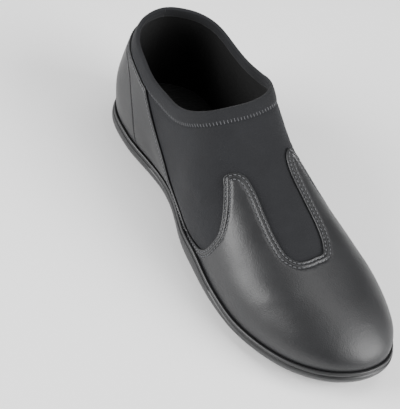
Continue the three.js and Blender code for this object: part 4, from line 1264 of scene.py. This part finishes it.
def bottom_face():
    """The tread as a filled outline with rows of points along each edge that steps"""
    outline = SOLE_ROWS[:, 0, :2]
    tangent = np.roll(outline, -1, axis=0) - np.roll(outline, 1, axis=0)
    left = np.stack([-tangent[:, 1], tangent[:, 0]], 1)
    left /= np.linalg.norm(left, axis=1)[:, None]
    rows = [outline + left * gap for gap in RIM_ROWS]
    for line in (HEEL_PAD_LINE, FOREFOOT_PAD_LINE, FLEX_LINE):
        fine = smooth_line(line[::4], FINE_LINE_STEPS)
        for gap in (*(-step for step in STEP_ROWS), 0, *STEP_ROWS[::-1]):
            rows.append(fine + (gap, 0))
    across = np.arange(-TREAD_HALF, TREAD_HALF, TREAD_PITCH)
    along = np.arange(-TREAD_PAST, LAST_LENGTH + TREAD_PAST, TREAD_PITCH)
    across, along = np.meshgrid(across, along)
    rows.append(np.stack([along.ravel(), across.ravel()], 1))
    extra = np.vstack(rows)
    extra = extra[inside(extra, outline)]
    extra = extra[gap_to(extra, outline)[0] > TREAD_CLEARANCE]
    plan, triangles = cut_flat(outline, extra, (1, 1), TREAD_NEAR)
    height = tread_height(plan[:, 0]) + bottom_rise(plan, gap_to(plan, outline)[0])
    return np.column_stack([plan, height]), triangles[:, ::-1]


def make_outsole():
    """The ring of the sole and its tread, welded along the tread's edge"""
    ring_points = SOLE_ROWS.reshape(-1, 3)
    bottom, triangles = bottom_face()
    faces = ring_faces(*SOLE_ROWS.shape[:2])
    faces += [tuple(t) for t in (triangles + len(ring_points)).tolist()]
    points = np.vstack([ring_points, bottom])
    return welded_piece("rubber_outsole", points, faces, SOLE_SMOOTH_ANGLE)


PIP_PITCH = 2.5
PIP_ROWS = 80
PIP_BASE = 0.85
PIP_TOP = 0.4
PIP_SINK = 0.15
PIP_CLEARANCE = 0.04
PIP_SLANT = 38
PIP_MARGIN = PAD_RIM + 1.2
PIP_GROOVE_MARGIN = PAD_RIM + 2


def make_pips():
    """Small blunt pyramids in slanting rows over the heel and forefoot pads"""
    outline = SOLE_ROWS[:, 0, :2]
    turn = math.radians(PIP_SLANT)
    step = np.arange(-PIP_ROWS, PIP_ROWS) * PIP_PITCH
    across, along = np.meshgrid(step, step)
    spot_x = along * math.cos(turn) - across * math.sin(turn) + LAST_LENGTH / 2
    spot_y = along * math.sin(turn) + across * math.cos(turn)
    spots = np.stack([spot_x.ravel(), spot_y.ravel()], 1)
    spots = spots[inside(spots, outline)]
    spots = spots[gap_to(spots, outline)[0] > PIP_MARGIN]
    heel, fore = past(spots, HEEL_PAD_LINE), past(spots, FOREFOOT_PAD_LINE)
    groove = np.abs(past(spots, FLEX_LINE))
    on_pad = ((heel < -PIP_MARGIN) | (fore > PIP_MARGIN)) & (groove > PIP_GROOVE_MARGIN)
    spots = spots[on_pad]
    points, faces = [], []
    for x, y in spots:
        base = len(points)
        floor = float(tread_height(x))
        for size, height in ((PIP_BASE, PAD_RECESS + PIP_SINK), (PIP_TOP, PIP_CLEARANCE)):
            for dx, dy in ((-1, 0), (0, 1), (1, 0), (0, -1)):
                points.append((x + dx * size, y + dy * size, floor + height))
        faces += [(base + k, base + (k + 1) % 4, base + 4 + (k + 1) % 4, base + 4 + k) for k in range(4)]
        faces.append((base + 4, base + 5, base + 6, base + 7))
        faces.append((base + 3, base + 2, base + 1, base))
    return mesh_piece("tread_pips", points, faces, smooth_angle=PIP_SMOOTH_ANGLE)


# The sock's top as shares of the way from its middle to its rim, and how far each drops at the edge
SOCK_EDGE = ((0.99, 0.15), (0.965, 0), (0.85, 0), (0.6, 0), (0.3, 0), (0, 0))
SOCK_ROUND = 0.6


def make_insole():
    """The sock: a thin pad inside the wall, with a rounded edge"""
    s = section(GRID_RINGS[INSOLE_COLUMNS])
    clear = WALL + GAP
    edge_r = s["wide"] - s["tuck"]
    middle = bed_height(s["foot"][:, 0]) + CUP_FACE
    base_z = s["feather"] + clear
    off = -WALL - INSOLE_EASE

    def on_wall(rise):
        share = climb(INSOLE_COLUMNS, off, s, lambda n, radius: base_z[n] + rise + 0 * radius)
        return face_at(INSOLE_COLUMNS, share, off)

    rim = on_wall(INSOLE_THICKNESS - SOCK_ROUND)
    rim_r = ahead_of_foot(s, rim)
    top_z = middle + clear + INSOLE_THICKNESS
    rows = [
        from_foot(s, edge_r * 0, middle + clear),
        from_foot(s, edge_r - 1, base_z),
        on_wall(INSOLE_THICKNESS * 0.4),
        rim,
    ]
    for share, drop in SOCK_EDGE:
        r = rim_r * share
        rows.append(from_foot(s, r, top_z + (s["feather"] - middle) * r / edge_r - drop))
    grid = np.stack(rows, 1)
    return welded_piece("insole_sock", grid.reshape(-1, 3), ring_faces(*grid.shape[:2]))


# Materials


def start_group(name, inputs, outputs):
    """A node group with a place and named floats in and floats out, and its in and out nodes"""
    group = bpy.data.node_groups.new(name, "ShaderNodeTree")
    group.interface.new_socket("Place", in_out="INPUT", socket_type="NodeSocketVector")
    for label, value in inputs.items():
        socket = group.interface.new_socket(label, in_out="INPUT", socket_type="NodeSocketFloat")
        socket.default_value = value
    for label in outputs:
        group.interface.new_socket(label, in_out="OUTPUT", socket_type="NodeSocketFloat")
    return group, group.nodes.new("NodeGroupInput").outputs, group.nodes.new("NodeGroupOutput").inputs


def put(tree, value, socket):
    """A number or another node's result into a socket"""
    if isinstance(value, (int, float)):
        socket.default_value = value
    else:
        tree.links.new(value, socket)


def maths(tree, operation, first, second):
    node = tree.nodes.new("ShaderNodeMath")
    node.operation = operation
    put(tree, first, node.inputs[0])
    put(tree, second, node.inputs[1])
    return node.outputs[0]


def noise(tree, place, scale, detail=3.0, rough=0.5):
    node = tree.nodes.new("ShaderNodeTexNoise")
    node.inputs["Detail"].default_value = detail
    node.inputs["Roughness"].default_value = rough
    put(tree, place, node.inputs["Vector"])
    put(tree, scale, node.inputs["Scale"])
    return node.outputs["Fac"]


def grain_group():
    """Fine pebbled grain: a height and a slow patchiness"""
    inputs = {"Scale": 1000.0, "Patch Scale": 30.0}
    group, start, end = start_group("fine grain", inputs, ("Height", "Patches"))
    cells = group.nodes.new("ShaderNodeTexVoronoi")
    cells.feature = "SMOOTH_F1"
    cells.inputs["Smoothness"].default_value = 0.6
    put(group, start["Place"], cells.inputs["Vector"])
    put(group, start["Scale"], cells.inputs["Scale"])
    fine = noise(group, start["Place"], start["Scale"], 2.0)
    height = maths(group, "ADD", cells.outputs["Distance"], maths(group, "MULTIPLY", fine, 0.6))
    put(group, height, end["Height"])
    put(group, noise(group, start["Place"], start["Patch Scale"], 4.0, 0.6), end["Patches"])
    return group


def knit_group():
    """Rows of fine knitted loops over a flat place"""
    group, start, end = start_group("fine knit", {"Rows": 1200.0, "Stagger": 900.0}, ("Height",))
    parts = group.nodes.new("ShaderNodeSeparateXYZ")
    put(group, start["Place"], parts.inputs[0])
    shift = maths(group, "MULTIPLY", noise(group, start["Place"], 400.0, 1.0), 1.2)

    def wave(axis, count):
        run = maths(group, "MULTIPLY", parts.outputs[axis], start[count])
        return maths(group, "SINE", maths(group, "ADD", run, shift), 0)

    loops = maths(group, "MULTIPLY", wave("X", "Stagger"), 0.7)
    put(group, maths(group, "ADD", wave("Y", "Rows"), loops), end["Height"])
    return group


GRAIN = grain_group()
KNIT = knit_group()

# The part of a noise that runs from the darker to the lighter tone
NOISE_LOW = 0.3
NOISE_HIGH = 0.7


def use_group(tree, group, place, values):
    """A node group set to work at a place, as its outputs"""
    node = tree.nodes.new("ShaderNodeGroup")
    node.node_tree = group
    put(tree, place, node.inputs["Place"])
    for label, value in values.items():
        put(tree, value, node.inputs[label])
    return node.outputs


def bump(tree, height, strength, distance, before=None):
    node = tree.nodes.new("ShaderNodeBump")
    node.inputs["Strength"].default_value = strength
    node.inputs["Distance"].default_value = distance
    put(tree, height, node.inputs["Height"])
    if before is not None:
        put(tree, before, node.inputs["Normal"])
    return node.outputs["Normal"]


def between(tree, factor, low, high):
    """A value that runs from low to high with a factor"""
    node = tree.nodes.new("ShaderNodeMapRange")
    node.inputs["From Min"].default_value = NOISE_LOW
    node.inputs["From Max"].default_value = NOISE_HIGH
    node.inputs["To Min"].default_value = low
    node.inputs["To Max"].default_value = high
    put(tree, factor, node.inputs["Value"])
    return node.outputs["Result"]


def tinted(tree, factor, dark, light):
    """A colour that runs from dark to light with a factor"""
    ramp = tree.nodes.new("ShaderNodeValToRGB")
    for element, position, colour in zip(ramp.color_ramp.elements, (NOISE_LOW, NOISE_HIGH), (dark, light)):
        element.position = position
        element.color = (*colour, 1)
    put(tree, factor, ramp.inputs["Fac"])
    return ramp.outputs["Color"]


def start_material(name):
    """A material with its shader, its node tree, and places in the object's own measures"""
    material = bpy.data.materials.new(name)
    material.use_nodes = True
    tree = material.node_tree
    tree.nodes.clear()
    shader = tree.nodes.new("ShaderNodeBsdfPrincipled")
    output = tree.nodes.new("ShaderNodeOutputMaterial")
    tree.links.new(shader.outputs["BSDF"], output.inputs["Surface"])
    place = tree.nodes.new("ShaderNodeTexCoord").outputs["Object"]
    return material, tree, shader.inputs, place


def leather_material():
    material, tree, shader, place = start_material("black_leather")
    grain = use_group(tree, GRAIN, place, {"Scale": 1500.0, "Patch Scale": 28.0})
    colour = tinted(tree, grain["Patches"], (0.0060, 0.0062, 0.0070), (0.0100, 0.0103, 0.0115))
    put(tree, colour, shader["Base Color"])
    put(tree, between(tree, grain["Patches"], 0.40, 0.48), shader["Roughness"])
    soft = bump(tree, noise(tree, place, 140.0, 3.0), 0.25, 0.0006)
    put(tree, bump(tree, grain["Height"], 0.35, 0.00015, soft), shader["Normal"])
    put(tree, 0.5, shader["Specular IOR Level"])
    return material


def stretch_material():
    """Matt knitted cloth. Where the mask says so, the black lining is painted almost black, darker than the
    cloth, as painted shade inside the shoe
    """
    material, tree, shader, place = start_material("stretch_knit")
    flat = tree.nodes.new("ShaderNodeUVMap")
    flat.uv_map = "flat"
    knit = use_group(tree, KNIT, flat.outputs["UV"], {"Rows": 9000.0, "Stagger": 7000.0})
    patches = noise(tree, place, 60.0, 4.0)
    lining_shade = tree.nodes.new("ShaderNodeAttribute")
    lining_shade.attribute_name = "lining_shade"
    mix = tree.nodes.new("ShaderNodeMix")
    mix.data_type = "RGBA"
    put(tree, lining_shade.outputs["Fac"], mix.inputs["Factor"])
    put(tree, tinted(tree, patches, (0.0095, 0.0098, 0.0112), (0.0145, 0.0150, 0.0168)), mix.inputs["A"])
    # The lining: black cloth, painted darker still as shade inside the shoe
    mix.inputs["B"].default_value = (0.0012, 0.0012, 0.0013, 1)
    put(tree, mix.outputs["Result"], shader["Base Color"])
    put(tree, between(tree, patches, 0.78, 0.9), shader["Roughness"])
    soft = bump(tree, noise(tree, place, 90.0, 3.0), 0.3, 0.001)
    speckle = bump(tree, noise(tree, place, 1300.0, 3.0, 0.7), 0.6, 0.0003, soft)
    put(tree, bump(tree, knit["Height"], 0.25, 0.0001, speckle), shader["Normal"])
    put(tree, 0.18, shader["Specular IOR Level"])
    put(tree, 0.06, shader["Sheen Weight"])
    put(tree, 0.5, shader["Sheen Roughness"])
    return material


def rubber_material():
    material, tree, shader, place = start_material("sole_rubber")
    grain = use_group(tree, GRAIN, place, {"Scale": 2200.0, "Patch Scale": 40.0})
    colour = tinted(tree, grain["Patches"], (0.012, 0.0122, 0.013), (0.018, 0.0183, 0.019))
    put(tree, colour, shader["Base Color"])
    put(tree, between(tree, grain["Patches"], 0.38, 0.5), shader["Roughness"])
    put(tree, bump(tree, grain["Height"], 0.15, 0.0001), shader["Normal"])
    return material


def thread_material():
    material, tree, shader, place = start_material("black_thread")
    twist = noise(tree, place, 2500.0, 2.0)
    put(tree, tinted(tree, twist, (0.045, 0.046, 0.05), (0.085, 0.087, 0.093)), shader["Base Color"])
    put(tree, between(tree, twist, 0.5, 0.65), shader["Roughness"])
    put(tree, bump(tree, twist, 0.4, 0.0002), shader["Normal"])
    return material


def sock_material():
    material, tree, shader, place = start_material("ribbed_sock")
    ribs = use_group(tree, KNIT, place, {"Rows": 600.0, "Stagger": 2400.0})
    patches = noise(tree, place, 80.0, 4.0)
    put(tree, tinted(tree, patches, (0.003, 0.003, 0.0032), (0.006, 0.006, 0.0063)), shader["Base Color"])
    put(tree, between(tree, patches, 0.85, 0.95), shader["Roughness"])
    put(tree, bump(tree, ribs["Height"], 0.6, 0.0004), shader["Normal"])
    return material


def floor_material():
    material, tree, shader, place = start_material("pale_floor")
    cloud = noise(tree, place, 3.0, 3.0)
    put(tree, tinted(tree, cloud, (0.93, 0.93, 0.93), (0.95, 0.95, 0.95)), shader["Base Color"])
    put(tree, between(tree, cloud, 0.85, 0.95), shader["Roughness"])
    return material


# Pieces of the shoe, each with its node, slot and finish


def dress(piece, material, node):
    piece.data.materials.clear()
    piece.data.materials.append(material)
    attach(piece, "root")
    if node:
        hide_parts(node)


leather = leather_material()
stretch = stretch_material()
rubber = rubber_material()
thread = thread_material()
sock = sock_material()

dress(make_bootie(), stretch, "bootie")
dress(make_vamp(), leather, "vamp")
dress(make_quarter(), leather, "quarter")
dress(make_counter(), leather, "counter")
dress(make_outsole(), rubber, "outsole")
dress(make_pips(), rubber, None)
dress(make_insole(), sock, "insole")
for row in make_stitches():
    dress(row, thread, None)
dress(make_overlock(), thread, None)


# Floor, light and camera


FLOOR_SIZE = 6
LIGHT_TARGET = Vector((0, 0, 0.04))
SKY_STRENGTH = 0.36


def make_floor():
    bpy.ops.mesh.primitive_plane_add(size=FLOOR_SIZE, location=(0, 0, 0))
    floor = bpy.context.active_object
    floor.name = "studio_floor"
    floor.data.materials.append(floor_material())


def direction(azimuth, elevation):
    """From the shoe towards a light or camera, at degrees round from its lateral side and up"""
    a, e = math.radians(azimuth), math.radians(elevation)
    return Vector((math.sin(a) * math.cos(e), -math.cos(a) * math.cos(e), math.sin(e)))


def soft_light(name, azimuth, elevation, distance, size, power):
    """A square softbox that faces the shoe"""
    away = direction(azimuth, elevation)
    data = bpy.data.lights.new(name, "AREA")
    data.shape = "SQUARE"
    data.size = size
    data.energy = power
    light = bpy.data.objects.new(name, data)
    light.location = away * distance + LIGHT_TARGET
    light.rotation_euler = (-away).to_track_quat("-Z", "Y").to_euler()
    bpy.context.scene.collection.objects.link(light)


def make_sky():
    world = bpy.data.worlds.new("studio")
    bpy.context.scene.world = world
    world.use_nodes = True
    background = world.node_tree.nodes["Background"]
    background.inputs["Color"].default_value = (1, 1, 1, 1)
    background.inputs["Strength"].default_value = SKY_STRENGTH


# View of the photograph, in the order of the camera's own fit: direction, roll, distance and aim
CAMERA_AZIMUTH = 51.56
CAMERA_ELEVATION = 43.66
CAMERA_ROLL = 15.09
CAMERA_DISTANCE = 0.7466
CAMERA_TARGET = Vector((0, 0, 0.035))
FOCAL_PIXELS = 1270.0
AIM_RIGHT_PIXELS = 50.0
AIM_DOWN_PIXELS = -14.0
FRAME_LONG_PIXELS = 409
SENSOR_WIDTH = 36.0
NEAREST = 0.01


def make_camera():
    away = direction(CAMERA_AZIMUTH, CAMERA_ELEVATION)
    r = math.radians(CAMERA_ROLL)
    forward = -away
    level = forward.cross(Vector((0, 0, 1))).normalized()
    upright = level.cross(forward)
    right = level * math.cos(r) + upright * math.sin(r)
    up = upright * math.cos(r) - level * math.sin(r)
    aim = forward - right * (AIM_RIGHT_PIXELS / FOCAL_PIXELS) + up * (AIM_DOWN_PIXELS / FOCAL_PIXELS)
    aim.normalize()
    right = (right - aim * right.dot(aim)).normalized()
    up = right.cross(aim)
    data = bpy.data.cameras.new("photo_camera")
    data.sensor_width = SENSOR_WIDTH
    data.lens = FOCAL_PIXELS * SENSOR_WIDTH / FRAME_LONG_PIXELS
    data.clip_start = NEAREST
    camera = bpy.data.objects.new("photo_camera", data)
    turn = Matrix((right, up, -aim)).transposed().to_4x4()
    camera.matrix_world = Matrix.Translation(CAMERA_TARGET + away * CAMERA_DISTANCE) @ turn
    bpy.context.scene.collection.objects.link(camera)
    bpy.context.scene.camera = camera


make_floor()
make_sky()
soft_light("lateral_softbox", -18, 26, 1.5, 1.0, 40)
soft_light("medial_softbox", 128, 30, 1.5, 1.0, 42)
soft_light("overhead_softbox", 172, 74, 1.6, 0.8, 8)
make_camera()
